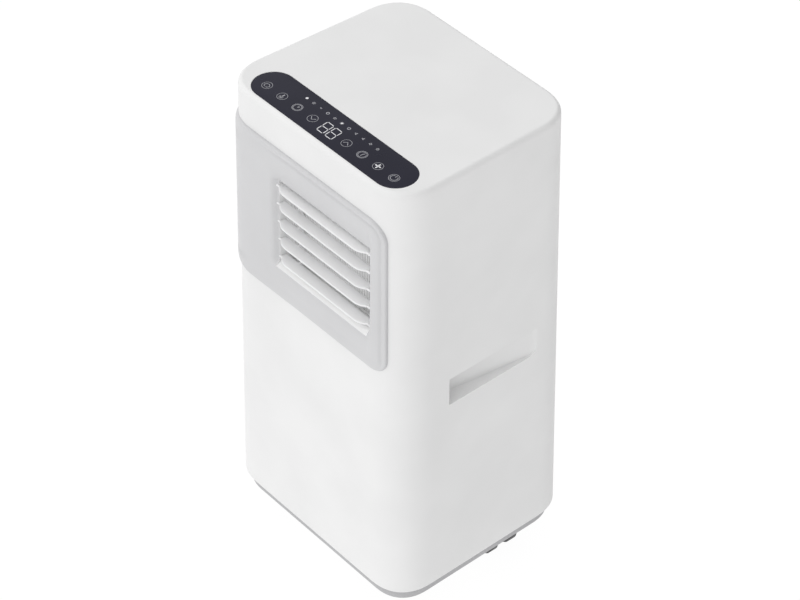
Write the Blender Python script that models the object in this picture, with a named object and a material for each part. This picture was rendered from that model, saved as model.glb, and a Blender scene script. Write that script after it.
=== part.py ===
"""Portable air conditioner on casters, as an assembly of separate pieces.

Metres, +Z up. The origin is on the floor under the middle of the body. The front, with the
louvers, faces -Y, and +X is on the right of someone who looks at the front.
"""

import math

import bmesh
import bpy
from mathutils import Matrix, Vector

# Body: a rounded box, a little narrower at the back and at the top.
BASE_BOTTOM = 0.0400
SKIRT_BOTTOM = 0.0596
BAND_BOTTOM = 0.6917
BODY_TOP = 0.7000
FRONT_HALF_LOW, FRONT_HALF_HIGH = 0.1758, 0.1689
REAR_HALF_LOW, REAR_HALF_HIGH = 0.1693, 0.1621
FRONT_Y_LOW, FRONT_Y_HIGH = -0.1500, -0.1409
REAR_Y_LOW, REAR_Y_HIGH = 0.1500, 0.1421
CORNER_RADIUS = 0.0500
CORNER_STEPS = 6
BAND_INSET = 0.0058
BASE_INSET = 0.0078
WALL = 0.0028
SEAM = 0.0003

# Rear cover: the flat panel between the two rear corners.
REAR_PANEL_HALF = 0.1095
REAR_PANEL_REACH = 0.1200

# Outlet bezel: stands proud of the front and wraps round the left front corner.
BEZEL_PROUD = 0.0040
BEZEL_RIGHT = 0.1450
BEZEL_BOTTOM, BEZEL_TOP = 0.4230, 0.6500
BEZEL_TOP_RADIUS, BEZEL_BOTTOM_RADIUS = 0.0270, 0.0200
BEZEL_SIDE_END = -0.0620
BEZEL_SIDE_RADIUS = 0.0180
FRAME_WALL = 0.0040
FRAME_DEPTH = 0.0340

# Louvers: five boat-shaped blades that turn together.
BLADE_COUNT = 5
BLADE_PITCH = 0.0276
BLADE_TOP_Z = 0.5900
BLADE_AXIS_Y = -0.1387
BLADE_LEFT, BLADE_RIGHT = -0.0625, 0.1060
BLADE_CHORD = 0.0173
BLADE_THICKNESS = 0.0026
BLADE_END_SWEEP = math.radians(50)
PIN_RADIUS = 0.0015
PIN_CLEARANCE = 0.0004
PIN_REACH = 0.0150
OPENING_LEFT, OPENING_RIGHT = -0.0635, 0.1108
OPENING_BOTTOM, OPENING_TOP = 0.4665, 0.6030
# The surround slopes in from this outline on the bezel's face to the opening behind it.
DISH_LEFT, DISH_RIGHT = -0.0760, 0.1310
DISH_BOTTOM, DISH_TOP = 0.4640, 0.6400
DISH_DEPTH = 0.0045
LINK_X = -0.0380
LINK_REACH = 0.0150
ARM_PIN_RADIUS = 0.0012
GUARD_PITCH = 0.0032
GUARD_GAP = 0.0020

# Control pill, let into the top cover.
PILL_CENTRE = (0.0047, -0.1064)
PILL_LENGTH, PILL_WIDTH = 0.2836, 0.0552
PILL_THICKNESS = 0.0023

# Grip recess in each side: a wedge, deepest at its front end.
GRIP_FRONT, GRIP_REAR = -0.0640, 0.0840
GRIP_BOTTOM, GRIP_TOP = 0.3500, 0.3915
GRIP_DEPTH = 0.0230

# Rear openings.
UPPER_INTAKE = (0.0900, 0.4400, 0.6400)
LOWER_INTAKE = (0.0900, 0.1000, 0.2600)
PORT_Z = 0.3380
PORT_RADIUS = 0.0660
PORT_BORE = 0.0580
DRAIN_RADIUS = 0.0078
UPPER_DRAIN = (0.0800, 0.4200)
LOWER_DRAIN = (-0.0800, 0.0870)
PLUG_LENGTH = 0.0060
GLAND = (0.0800, 0.0870)
GLAND_RADIUS = 0.0086
CORD_RADIUS = 0.0040

# Casters: twin wheels behind a swivel stem.
CASTERS = {
    "front_right": (0.113, -0.085, -1),
    "front_left": (-0.113, -0.085, 1),
    "rear_right": (0.113, 0.058, 1),
    "rear_left": (-0.113, 0.058, -1),
}
WHEEL_RADIUS = 0.0180
WHEEL_WIDTH = 0.0170
CASTER_WIDTH = 0.0500
TRAIL = 0.0140
AXLE_RADIUS = 0.0030
STEM_RADIUS = 0.0050

# Upper air path: evaporator coil, blower wheel in its scroll, duct to the louvers.
UPPER_WHEEL = (0.0200, 0.0480, 0.5300)
UPPER_WHEEL_RADIUS = 0.0780
UPPER_WHEEL_HALF = 0.0270
# Lower air path: condenser coil, blower wheel in its scroll, duct to the hose port.
LOWER_WHEEL = (0.0000, 0.0640, 0.1780)
LOWER_WHEEL_RADIUS = 0.0720
LOWER_WHEEL_HALF = 0.0230
BLOWER_BLADES = 18
BLOWER_LEAN = math.radians(28)
SHAFT_RADIUS = 0.0032
SCROLL_WALL = 0.0030

# Just above the floors that the inner pieces stand on.
PAN_FLOOR = 0.0445
TRAY_FLOOR = 0.4095

COMPRESSOR = (-0.0750, -0.0620)
COMPRESSOR_RADIUS = 0.0520
ACCUMULATOR = (0.0050, -0.0820)
SPLASH_WHEEL = (0.1250, 0.0840, 0.0800)


def clear_scene():
    for obj in list(bpy.data.objects):
        bpy.data.objects.remove(obj, do_unlink=True)


def collection(name):
    made = bpy.data.collections.new(name)
    bpy.context.scene.collection.children.link(made)
    return made


def material(name, colour, roughness, metallic=0.0):
    made = bpy.data.materials.new(name)
    made.use_nodes = True
    shader = made.node_tree.nodes["Principled BSDF"]
    shader.inputs["Base Color"].default_value = (*colour, 1.0)
    shader.inputs["Roughness"].default_value = roughness
    shader.inputs["Metallic"].default_value = metallic
    return made


clear_scene()
PARTS = collection("portable_air_conditioner")
CUTTERS = collection("cutters")
WHITE = ((0.86, 0.86, 0.86), 0.45)
LIGHT_GREY = ((0.70, 0.70, 0.71), 0.45)
BASE_GREY = ((0.55, 0.55, 0.56), 0.55)
INNER_GREY = ((0.35, 0.36, 0.37), 0.60)
DARK = ((0.03, 0.03, 0.04), 0.25)
BLACK = ((0.02, 0.02, 0.02), 0.60)
STEEL = ((0.55, 0.56, 0.58), 0.35, 1.0)
ALUMINIUM = ((0.75, 0.76, 0.78), 0.40, 1.0)
COPPER = ((0.72, 0.38, 0.22), 0.35, 1.0)
BOARD = ((0.03, 0.18, 0.08), 0.50)


def shade(mesh):
    mesh.shade_smooth()
    mesh.set_sharp_from_angle(angle=math.radians(35))


def new_object(name, bm, finish=None, origin=(0, 0, 0)):
    """A node when it has a finish, and a hidden helper when it has none."""
    bmesh.ops.recalc_face_normals(bm, faces=bm.faces)
    bmesh.ops.translate(bm, verts=bm.verts, vec=-Vector(origin))
    mesh = bpy.data.meshes.new(name)
    bm.to_mesh(mesh)
    bm.free()
    shade(mesh)
    obj = bpy.data.objects.new(name, mesh)
    obj.location = origin
    if finish is None:
        CUTTERS.objects.link(obj)
        obj.hide_render = True
        obj.display_type = "WIRE"
    else:
        PARTS.objects.link(obj)
        mesh.materials.append(material(name, *finish))
    return obj


def boolean(obj, operation, *others):
    for other in others:
        modifier = obj.modifiers.new(other.name, "BOOLEAN")
        modifier.operation = operation
        modifier.object = other
    return obj


def cut(obj, *others):
    return boolean(obj, "DIFFERENCE", *others)


def join(obj, *others):
    return boolean(obj, "UNION", *others)


def keep(obj, *others):
    return boolean(obj, "INTERSECT", *others)


def add_box(bm, low, high):
    low, high = Vector(low), Vector(high)
    size = Matrix.Diagonal((*(high - low), 1.0))
    bmesh.ops.create_cube(bm, size=1.0, matrix=Matrix.Translation((low + high) / 2) @ size)


def add_cylinder(bm, start, end, radius, segments=32):
    start, end = Vector(start), Vector(end)
    turn = Vector((0, 0, 1)).rotation_difference(end - start).to_matrix().to_4x4()
    bmesh.ops.create_cone(
        bm,
        cap_ends=True,
        segments=segments,
        radius1=radius,
        radius2=radius,
        depth=(end - start).length,
        matrix=Matrix.Translation((start + end) / 2) @ turn,
    )


def boxes(name, finish, *corners, origin=(0, 0, 0)):
    bm = bmesh.new()
    for low, high in corners:
        add_box(bm, low, high)
    return new_object(name, bm, finish, origin)


def cylinder(name, finish, start, end, radius, segments=32, origin=(0, 0, 0)):
    bm = bmesh.new()
    add_cylinder(bm, start, end, radius, segments)
    return new_object(name, bm, finish, origin)


def loft(name, finish, rings, origin=(0, 0, 0)):
    """A closed solid through rings of equal count."""
    bm = bmesh.new()
    loops = [[bm.verts.new(point) for point in ring] for ring in rings]
    for lower, upper in zip(loops, loops[1:]):
        for i in range(len(lower)):
            j = (i + 1) % len(lower)
            bm.faces.new((lower[i], lower[j], upper[j], upper[i]))
    bm.faces.new(loops[0][::-1])
    bm.faces.new(loops[-1])
    return new_object(name, bm, finish, origin)


def filleted(corners, radii, steps):
    """A convex outline, counter-clockwise, with each corner turned into an arc."""
    corners = [Vector(corner) for corner in corners]
    points = []
    for i, corner in enumerate(corners):
        if radii[i] == 0:
            points.append(corner)
            continue
        before = (corners[i - 1] - corner).normalized()
        after = (corners[(i + 1) % len(corners)] - corner).normalized()
        half = before.angle(after) / 2
        centre = corner + (before + after).normalized() * radii[i] / math.sin(half)
        start = corner + before * radii[i] / math.tan(half) - centre
        for step in range(steps + 1):
            angle = (math.pi - 2 * half) * step / steps
            points.append(centre + Matrix.Rotation(angle, 2) @ start)
    return points


def between(low, high, z):
    """A body dimension at height z, given at the skirt and at the band."""
    return low + (high - low) * (z - SKIRT_BOTTOM) / (BAND_BOTTOM - SKIRT_BOTTOM)


def front_y(z):
    return between(FRONT_Y_LOW, FRONT_Y_HIGH, z)


def rear_y(z):
    return between(REAR_Y_LOW, REAR_Y_HIGH, z)


def body_ring(z, inset=0.0, height=None):
    """The body's outline at height z, as 3-D points at that height or another."""
    front = between(FRONT_HALF_LOW, FRONT_HALF_HIGH, z) - inset
    rear = between(REAR_HALF_LOW, REAR_HALF_HIGH, z) - inset
    low_y, high_y = front_y(z) + inset, rear_y(z) - inset
    corners = [(-front, low_y), (front, low_y), (rear, high_y), (-rear, high_y)]
    outline = filleted(corners, [CORNER_RADIUS - inset] * 4, CORNER_STEPS)
    return [(x, y, z if height is None else height) for x, y in outline]


def body_solid(name, finish, bottom, top, inset=0.0):
    return loft(name, finish, [body_ring(bottom, inset), body_ring(top, inset)])


def prism(name, finish, outline, axis, low, high):
    """An outline of (u, v) points pulled along X or Y; v is Z."""
    rings = []
    for depth in (low, high):
        if axis == "Y":
            rings.append([(u, depth, v) for u, v in outline])
        else:
            rings.append([(depth, u, v) for u, v in outline])
    return loft(name, finish, rings)


def pill_outline(length, width, steps=8):
    x, y = PILL_CENTRE
    half, radius = length / 2, width / 2
    corners = [(-half, -radius), (half, -radius), (half, radius), (-half, radius)]
    rounding = [radius * 0.9999] * 4
    return [(x + u, y + v) for u, v in filleted(corners, rounding, steps)]


def mirrored(points):
    return [(-x, y, z) for x, y, z in points]


# Casings.


def grip_rings(grow):
    """The wedge of the grip in the right side, grown by a wall's thickness all round."""
    rings = []
    for y, depth in ((GRIP_FRONT - grow, GRIP_DEPTH), (GRIP_REAR + grow, 0.0006)):
        share = (y - FRONT_Y_LOW) / (REAR_Y_LOW - FRONT_Y_LOW)
        outer = FRONT_HALF_LOW + (REAR_HALF_LOW - FRONT_HALF_LOW) * share - 0.0030
        low, high = GRIP_BOTTOM - grow, GRIP_TOP + grow
        inner = outer - depth - grow
        reach = outer + (0.02 if grow == 0 else -0.0010)
        rings.append([(inner, y, low), (reach, y, low), (reach, y, high), (inner, y, high)])
    return rings


def make_body_shell():
    shell = body_solid("body_shell", WHITE, SKIRT_BOTTOM, BAND_BOTTOM - SEAM)
    cut(
        shell,
        body_solid("shell_inside", None, SKIRT_BOTTOM - 0.01, BAND_BOTTOM + 0.01, WALL),
        boxes(
            "shell_back",
            None,
            ((-REAR_PANEL_HALF - SEAM, REAR_PANEL_REACH, 0), (REAR_PANEL_HALF + SEAM, 0.2, 0.8)),
        ),
        boxes(
            "shell_outlet",
            None,
            (
                (DISH_LEFT - 0.004, -0.2, DISH_BOTTOM - 0.004),
                (DISH_RIGHT + 0.004, -0.1, DISH_TOP + 0.004),
            ),
        ),
    )
    for side, change in (("right", list), ("left", mirrored)):
        cup = [change(ring) for ring in grip_rings(WALL)]
        space = [change(ring) for ring in grip_rings(0)]
        join(shell, loft(f"grip_cup_{side}", None, cup))
        cut(shell, loft(f"grip_space_{side}", None, space))


def make_rear_cover():
    cover = body_solid("rear_cover", WHITE, SKIRT_BOTTOM, BAND_BOTTOM - SEAM)
    limits = boxes(
        "rear_limits",
        None,
        ((-REAR_PANEL_HALF, REAR_PANEL_REACH, 0), (REAR_PANEL_HALF, 0.2, 0.8)),
    )
    cut(cover, body_solid("rear_inside", None, SKIRT_BOTTOM - 0.01, BAND_BOTTOM + 0.01, WALL))
    keep(cover, limits)
    windows = []
    for half, low, high in (UPPER_INTAKE, LOWER_INTAKE):
        windows.append(((-half, 0.1, low), (half, 0.2, high)))
    holes = [cylinder("port_hole", None, (0, 0.1, PORT_Z), (0, 0.2, PORT_Z), PORT_RADIUS, 32)]
    for name, (x, z), radius in (
        ("upper_drain_hole", UPPER_DRAIN, DRAIN_RADIUS),
        ("lower_drain_hole", LOWER_DRAIN, DRAIN_RADIUS),
        ("gland_hole", GLAND, GLAND_RADIUS + 0.0004),
    ):
        holes.append(cylinder(name, None, (x, 0.1, z), (x, 0.2, z), radius, 20))
    cut(cover, boxes("rear_windows", None, *windows), *holes)


def make_top_cover():
    rings = [body_ring(BAND_BOTTOM)]
    for step in range(4):
        angle = math.radians(90) * step / 3
        inset = BAND_INSET * (1 - math.cos(angle))
        height = BAND_BOTTOM + (BODY_TOP - BAND_BOTTOM) * math.sin(angle)
        if step:
            rings.append(body_ring(BAND_BOTTOM, inset, height))
    cover = loft("top_cover", WHITE, rings)
    inside = [body_ring(BAND_BOTTOM, WALL, height) for height in (0.68, 0.6968)]
    lip = [body_ring(BAND_BOTTOM, WALL + 0.0005, height) for height in (0.6850, 0.6980)]
    hollow = [body_ring(BAND_BOTTOM, WALL + 0.0025, height) for height in (0.6800, 0.6968)]
    x, y = PILL_CENTRE
    cut(cover, loft("top_inside", None, inside))
    join(cover, loft("top_lip", None, lip))
    cut(cover, loft("top_hollow", None, hollow))
    seat = [[(u, v, z) for u, v in pill_outline(PILL_LENGTH, PILL_WIDTH)] for z in (0.6945, 0.6985)]
    join(cover, loft("pill_seat", None, seat))
    floor = BODY_TOP - PILL_THICKNESS - SEAM
    outline = pill_outline(PILL_LENGTH + 2 * SEAM, PILL_WIDTH + 2 * SEAM)
    pocket = [[(u, v, z) for u, v in outline] for z in (floor, 0.71)]
    window = ((x - 0.100, y - 0.018, 0.69), (x + 0.100, y + 0.018, 0.705))
    cut(cover, loft("pill_pocket", None, pocket), boxes("pill_window", None, window))


def make_base_pan():
    """The tray that carries everything, with a socket over each caster."""
    low = [body_ring(SKIRT_BOTTOM, BASE_INSET, height) for height in (BASE_BOTTOM, 0.076)]
    inside = [body_ring(SKIRT_BOTTOM, BASE_INSET + 0.003, height) for height in (0.044, 0.09)]
    pan = cut(loft("base_pan", BASE_GREY, low), loft("pan_inside", None, inside))
    for name, (x, y, _) in CASTERS.items():
        start, end = (x, y, 0.042), (x, y, 0.062)
        join(pan, cylinder(f"socket_{name}", None, start, end, 0.0110, 24))
        start, end = (x, y, 0.030), (x, y, 0.0585)
        cut(pan, cylinder(f"socket_bore_{name}", None, start, end, STEM_RADIUS + 0.0004, 16))


# Controls.


def make_controls():
    outline = pill_outline(PILL_LENGTH, PILL_WIDTH)
    top = BODY_TOP - 0.0001
    rings = [[(u, v, z) for u, v in outline] for z in (top - PILL_THICKNESS, top)]
    loft("control_lens", DARK, rings)
    x, y = PILL_CENTRE
    frame = boxes(
        "light_guide",
        BLACK,
        ((x - 0.0970, y - 0.0150, 0.6897), (x + 0.0970, y + 0.0150, 0.6970)),
    )
    cells = []
    for index in range(8):
        left = x - 0.0930 + index * 0.0235
        cells.append(((left, y - 0.0120, 0.68), (left + 0.0205, y + 0.0120, 0.70)))
    cut(frame, boxes("light_cells", None, *cells))
    board = ((x - 0.1150, y - 0.0230, 0.6878), (x + 0.1150, y + 0.0240, 0.6894))
    boxes("display_board", BOARD, board)


# Outlet.


def blade_z(index):
    return BLADE_TOP_Z - index * BLADE_PITCH


def make_bezel():
    bottom, top = BEZEL_BOTTOM - 0.02, BEZEL_TOP + 0.02
    skin = body_solid("outlet_bezel", LIGHT_GREY, bottom, top, -BEZEL_PROUD)
    face = filleted(
        [
            (-0.20, BEZEL_BOTTOM),
            (BEZEL_RIGHT, BEZEL_BOTTOM),
            (BEZEL_RIGHT, BEZEL_TOP),
            (-0.20, BEZEL_TOP),
        ],
        [0, BEZEL_BOTTOM_RADIUS, BEZEL_TOP_RADIUS, 0],
        CORNER_STEPS,
    )
    side = filleted(
        [
            (-0.20, BEZEL_BOTTOM - 0.02),
            (BEZEL_SIDE_END, BEZEL_BOTTOM - 0.001),
            (BEZEL_SIDE_END, BEZEL_TOP + 0.001),
            (-0.20, BEZEL_TOP + 0.05),
        ],
        [0, BEZEL_SIDE_RADIUS, BEZEL_SIDE_RADIUS, 0],
        CORNER_STEPS,
    )
    cut(skin, body_solid("bezel_inside", None, bottom - 0.01, top + 0.01, -SEAM))
    keep(
        skin,
        prism("bezel_face", None, face, "Y", -0.2, 0.0),
        prism("bezel_side", None, side, "X", -0.3, 0.3),
    )
    frame = (
        (OPENING_LEFT - FRAME_WALL, front_y(OPENING_BOTTOM) - 0.002, OPENING_BOTTOM - FRAME_WALL),
        (OPENING_RIGHT + FRAME_WALL, BLADE_AXIS_Y + FRAME_DEPTH, OPENING_TOP + FRAME_WALL),
    )
    join(skin, boxes("bezel_frame", None, frame))
    boss = (
        (DISH_LEFT - 0.003, front_y(DISH_BOTTOM) - 0.0004, DISH_BOTTOM - 0.003),
        (DISH_RIGHT + 0.003, BLADE_AXIS_Y + 0.0050, DISH_TOP + 0.003),
    )
    join(skin, boxes("bezel_boss", None, boss))
    hole = rectangle(OPENING_LEFT, OPENING_RIGHT, OPENING_BOTTOM, OPENING_TOP, 0.004)
    mouth = rectangle(DISH_LEFT, DISH_RIGHT, DISH_BOTTOM, DISH_TOP, 0.020)
    inner = [(x, front_y(z) + DISH_DEPTH, z) for x, z in hole]
    outer = [(x, front_y(z) - BEZEL_PROUD - 0.0001, z) for x, z in mouth]
    beyond = [(x, y - 0.01, z) for x, y, z in outer]
    cut(skin, prism("bezel_hole", None, hole, "Y", -0.2, 0.0))
    cut(skin, loft("bezel_dish", None, [beyond, outer, inner]))
    bores = bmesh.new()
    for index in range(BLADE_COUNT):
        z = blade_z(index)
        for start, end in (
            (OPENING_LEFT - PIN_REACH - 0.004, OPENING_LEFT + 0.01),
            (OPENING_RIGHT - 0.01, OPENING_RIGHT + FRAME_WALL + 0.001),
        ):
            ends = (start, BLADE_AXIS_Y, z), (end, BLADE_AXIS_Y, z)
            add_cylinder(bores, *ends, PIN_RADIUS + PIN_CLEARANCE, 12)
    cut(skin, new_object("bezel_bores", bores))


def rectangle(left, right, bottom, top, radius):
    corners = [(left, bottom), (right, bottom), (right, top), (left, top)]
    return filleted(corners, [radius] * 4, 4)


def blade_outline():
    """Boat shape in plan: straight edges that curve in to a point at each end."""
    radius = BLADE_CHORD / 2 / (1 - math.cos(BLADE_END_SWEEP))
    steps = 6
    arc = []
    for step in range(steps + 1):
        angle = BLADE_END_SWEEP * step / steps
        length = radius * (math.sin(BLADE_END_SWEEP) - math.sin(BLADE_END_SWEEP - angle))
        inset = radius * (math.cos(BLADE_END_SWEEP - angle) - math.cos(BLADE_END_SWEEP))
        arc.append((length, inset))
    front = [(BLADE_LEFT + u, -v) for u, v in arc]
    front += [(BLADE_RIGHT - u, -v) for u, v in reversed(arc)]
    rear = [(BLADE_RIGHT - u, v) for u, v in arc[1:]]
    rear += [(BLADE_LEFT + u, v) for u, v in reversed(arc[1:])]
    return front + rear


def make_louvers():
    arm_y = BLADE_AXIS_Y + LINK_REACH
    for index in range(BLADE_COUNT):
        z = blade_z(index)
        origin = (0, BLADE_AXIS_Y, z)
        rings = []
        for height in (z - BLADE_THICKNESS / 2, z + BLADE_THICKNESS / 2):
            rings.append([(u, BLADE_AXIS_Y + v, height) for u, v in blade_outline()])
        blade = loft(f"louver_{index + 1}", LIGHT_GREY, rings, origin)
        pins = bmesh.new()
        for start, end in (
            (OPENING_LEFT - PIN_REACH, BLADE_LEFT + 0.004),
            (BLADE_RIGHT - 0.004, OPENING_RIGHT + FRAME_WALL),
        ):
            ends = (start, BLADE_AXIS_Y, z), (end, BLADE_AXIS_Y, z)
            add_cylinder(pins, *ends, PIN_RADIUS, 12)
        end = LINK_X + 0.0025, arm_y + 0.0022, z + 0.0022
        arm = ((LINK_X, BLADE_AXIS_Y, z - 0.0022), end)
        ends = (LINK_X - 0.0045, arm_y, z), (LINK_X + 0.001, arm_y, z)
        join(
            blade,
            new_object(f"blade_pins_{index + 1}", pins),
            boxes(f"blade_arm_{index + 1}", None, arm),
            cylinder(f"arm_pin_{index + 1}", None, *ends, ARM_PIN_RADIUS, 12),
        )
    low, high = blade_z(BLADE_COUNT - 1) - 0.004, blade_z(0) + 0.004
    origin = (LINK_X - 0.002, arm_y, blade_z(2))
    bar = ((LINK_X - 0.0035, arm_y - 0.0032, low), (LINK_X - 0.0006, arm_y + 0.0032, high))
    link = boxes("louver_link", LIGHT_GREY, bar, origin=origin)
    bores = bmesh.new()
    for index in range(BLADE_COUNT):
        ends = (LINK_X - 0.01, arm_y, blade_z(index)), (LINK_X + 0.01, arm_y, blade_z(index))
        add_cylinder(bores, *ends, ARM_PIN_RADIUS + PIN_CLEARANCE, 12)
    cut(link, new_object("link_bores", bores))
    left, right = OPENING_LEFT + SEAM, OPENING_RIGHT - SEAM
    bottom, top = OPENING_BOTTOM + SEAM, OPENING_TOP - SEAM
    outline = rectangle(left, right, bottom, top, 0.0037)
    guard = prism("outlet_guard", WHITE, outline, "Y", -0.1190, -0.1160)
    gaps = bmesh.new()
    count = 53
    for index in range(count):
        x = (left + right) / 2 + GUARD_PITCH * (index - (count - 1) / 2)
        for low, high in ((bottom + 0.0040, -0.0010), (0.0010, top - 0.0040)):
            middle = (bottom + top) / 2
            low, high = (low, middle + high) if high < 0 else (middle + low, high)
            add_box(gaps, (x - GUARD_GAP / 2, -0.13, low), (x + GUARD_GAP / 2, -0.10, high))
    cut(guard, new_object("guard_gaps", gaps))
    x, z = DISH_LEFT - 0.0035, blade_z(2)
    middle = BLADE_AXIS_Y + 0.0100
    cylinder("louver_motor", INNER_GREY, (x - 0.0160, middle, z), (x, middle, z), 0.0100, 24)


# Rear pieces.


def make_grille(name, opening, slots, finish):
    """A slatted panel that fills a window of the rear cover and lies flush with it."""
    half, low, high = opening
    gap = 0.0005
    panel = body_solid(name, finish, SKIRT_BOTTOM, BAND_BOTTOM)
    limits = ((-half + gap, 0.1, low + gap), (half - gap, 0.2, high - gap))
    cut(panel, body_solid(f"{name}_inside", None, SKIRT_BOTTOM - 0.01, BAND_BOTTOM + 0.01, WALL))
    keep(panel, boxes(f"{name}_limits", None, limits))
    border = 0.010
    step = (high - low - 2 * border) / slots
    holes = []
    for index in range(slots):
        bottom = low + border + (index + 0.25) * step
        for left, right in ((-half + border, -0.002), (0.002, half - border)):
            holes.append(((left, 0.1, bottom), (right, 0.2, bottom + step / 2)))
    return cut(panel, boxes(f"{name}_slots", None, *holes))


def ring_piece(name, finish, centre, start, end, outer, inner, segments=32):
    x, z = centre
    piece = cylinder(name, finish, (x, start, z), (x, end, z), outer, segments)
    ends = (x, start - 0.01, z), (x, end + 0.01, z)
    return cut(piece, cylinder(f"{name}_bore", None, *ends, inner, segments))


def make_rear_pieces():
    make_grille("upper_grille", UPPER_INTAKE, 14, WHITE)
    make_grille("lower_grille", LOWER_INTAKE, 10, WHITE)
    half, low, high = UPPER_INTAKE
    sheet = ((-half + 0.004, 0.1330, low + 0.004), (half - 0.004, 0.1360, high - 0.004))
    air_filter = boxes("air_filter", INNER_GREY, sheet)
    cells = []
    for column in range(3):
        for row in range(3):
            left = -half + 0.010 + column * 0.0545
            bottom = low + 0.010 + row * 0.0610
            cells.append(((left, 0.12, bottom), (left + 0.0505, 0.1345, bottom + 0.0570)))
    cut(air_filter, boxes("filter_cells", None, *cells))
    end = rear_y(PORT_Z) - 0.001
    ring_piece("exhaust_collar", WHITE, (0, PORT_Z), 0.1240, end, PORT_RADIUS - 0.0005, PORT_BORE)
    for name, (x, z) in (("upper_drain_plug", UPPER_DRAIN), ("lower_drain_plug", LOWER_DRAIN)):
        end = (x, rear_y(z) - 0.0012, z)
        start = (x, end[1] - PLUG_LENGTH, z)
        cylinder(name, BLACK, start, end, DRAIN_RADIUS - 0.0004, 20, origin=end)
    end = rear_y(GLAND[1]) - 0.0006
    ring_piece("cord_gland", BLACK, GLAND, end - 0.010, end, GLAND_RADIUS, CORD_RADIUS, 20)


# Air path.


def blower_wheel(name, centre, radius, half):
    """A centrifugal wheel on an axis along Y: back plate, blades, inlet ring and hub."""
    x, y, z = centre
    back, front = y - half, y + half
    wheel = cylinder(name, INNER_GREY, (x, back, z), (x, back + 0.003, z), radius, 28, origin=centre)
    ring = cylinder(f"{name}_ring", None, (x, front - 0.004, z), (x, front, z), radius, 28)
    ends = (x, front - 0.02, z), (x, front + 0.02, z)
    cut(ring, cylinder(f"{name}_eye", None, *ends, radius - 0.014, 28))
    lean = Matrix.Rotation(BLOWER_LEAN, 4, "Y")
    size = Matrix.Diagonal((0.011, 2 * half - 0.004, 0.0016, 1.0))
    blades = bmesh.new()
    for index in range(BLOWER_BLADES):
        turn = Matrix.Rotation(math.tau * index / BLOWER_BLADES, 4, "Y")
        place = Matrix.Translation(centre) @ turn @ Matrix.Translation((radius - 0.0080, 0, 0))
        bmesh.ops.create_cube(blades, size=1.0, matrix=place @ lean @ size)
    hub = cylinder(f"{name}_hub", None, (x, back, z), (x, back + 0.024, z), 0.0120, 20)
    join(wheel, ring, new_object(f"{name}_blades", blades), hub)
    ends = (x, back - 0.01, z), (x, back + 0.018, z)
    cut(wheel, cylinder(f"{name}_bore", None, *ends, SHAFT_RADIUS + 0.0004, 16))


def scroll_outline(centre, radius, growth, steps):
    """A spiral whose radius grows by one share of growth each turn, in X and Z."""
    x, _, z = centre
    points = []
    for step in range(steps):
        angle = math.tau * step / steps
        reach = radius + growth * step / steps
        points.append((x + reach * math.cos(angle), z + reach * math.sin(angle)))
    return points


def make_upper_air_path():
    x, y, z = UPPER_WHEEL
    front, rear = 0.0130, 0.0860
    around = UPPER_WHEEL_RADIUS + 0.0050
    outline = scroll_outline(UPPER_WHEEL, around + SCROLL_WALL, 0.012, 28)
    hollow = scroll_outline(UPPER_WHEEL, around, 0.012, 28)
    mouth = ((x - 0.050, front - 0.01, z + 0.046), (x + 0.050, front + 0.01, z + 0.070))
    eye = (x, rear - 0.01, z), (x, rear + 0.01, z)
    shaft = (x, front - 0.01, z), (x, front + 0.01, z)
    scroll = prism("evaporator_scroll", INNER_GREY, outline, "Y", front, rear)
    join(scroll, boxes("upper_foot", None, ((x - 0.050, front, TRAY_FLOOR), (x + 0.050, rear, z - 0.070))))
    cut(
        scroll,
        prism("upper_scroll_inside", None, hollow, "Y", front + SCROLL_WALL, rear - SCROLL_WALL),
        cylinder("upper_scroll_eye", None, *eye, 0.0620, 28),
        boxes("upper_scroll_mouth", None, mouth),
        cylinder("upper_shaft_hole", None, *shaft, 0.0080, 20),
    )
    blower_wheel("evaporator_blower", UPPER_WHEEL, UPPER_WHEEL_RADIUS, UPPER_WHEEL_HALF)
    motor = cylinder("evaporator_motor", STEEL, (x, -0.0400, z), (x, front - 0.0008, z), 0.0400, 24)
    join(motor, cylinder("upper_shaft", None, (x, 0.0, z), (x, 0.0360, z), SHAFT_RADIUS, 16))
    low, high = OPENING_BOTTOM - 0.0080, OPENING_TOP + 0.0080
    left, right = OPENING_LEFT - 0.0080, OPENING_RIGHT + 0.0080
    start, end = BLADE_AXIS_Y + FRAME_DEPTH + 0.0005, front - 0.0004
    duct = boxes("outlet_duct", INNER_GREY, ((left, start, low), (right, end, high)))
    wall = SCROLL_WALL
    inside = ((left + wall, -0.2, low + wall), (right - wall, 0.1, high - wall))
    cut(duct, boxes("duct_inside", None, inside))
    make_coil("evaporator_coil", (-0.1250, 0.0960, 0.4330), (0.1250, 0.1240, 0.6400), TRAY_FLOOR)
    tray = boxes("drain_tray", INNER_GREY, ((-0.1480, 0.0000, 0.4060), (0.1480, 0.1300, 0.4300)))
    cut(tray, boxes("tray_inside", None, ((-0.1450, 0.0030, 0.4090), (0.1450, 0.1270, 0.4400))))


def make_coil(name, low, high, foot):
    """A fin block between two end plates that stand proud of it and reach down to their foot."""
    rim = Vector((0.002, 0.002, 0.002))
    block = boxes(name, ALUMINIUM, (Vector(low) + rim, Vector(high) - rim))
    for label, start in (("left", low[0]), ("right", high[0] - 0.004)):
        plate = ((start, low[1], foot), (start + 0.004, high[1], high[2]))
        join(block, boxes(f"{name}_{label}", None, plate))


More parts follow.
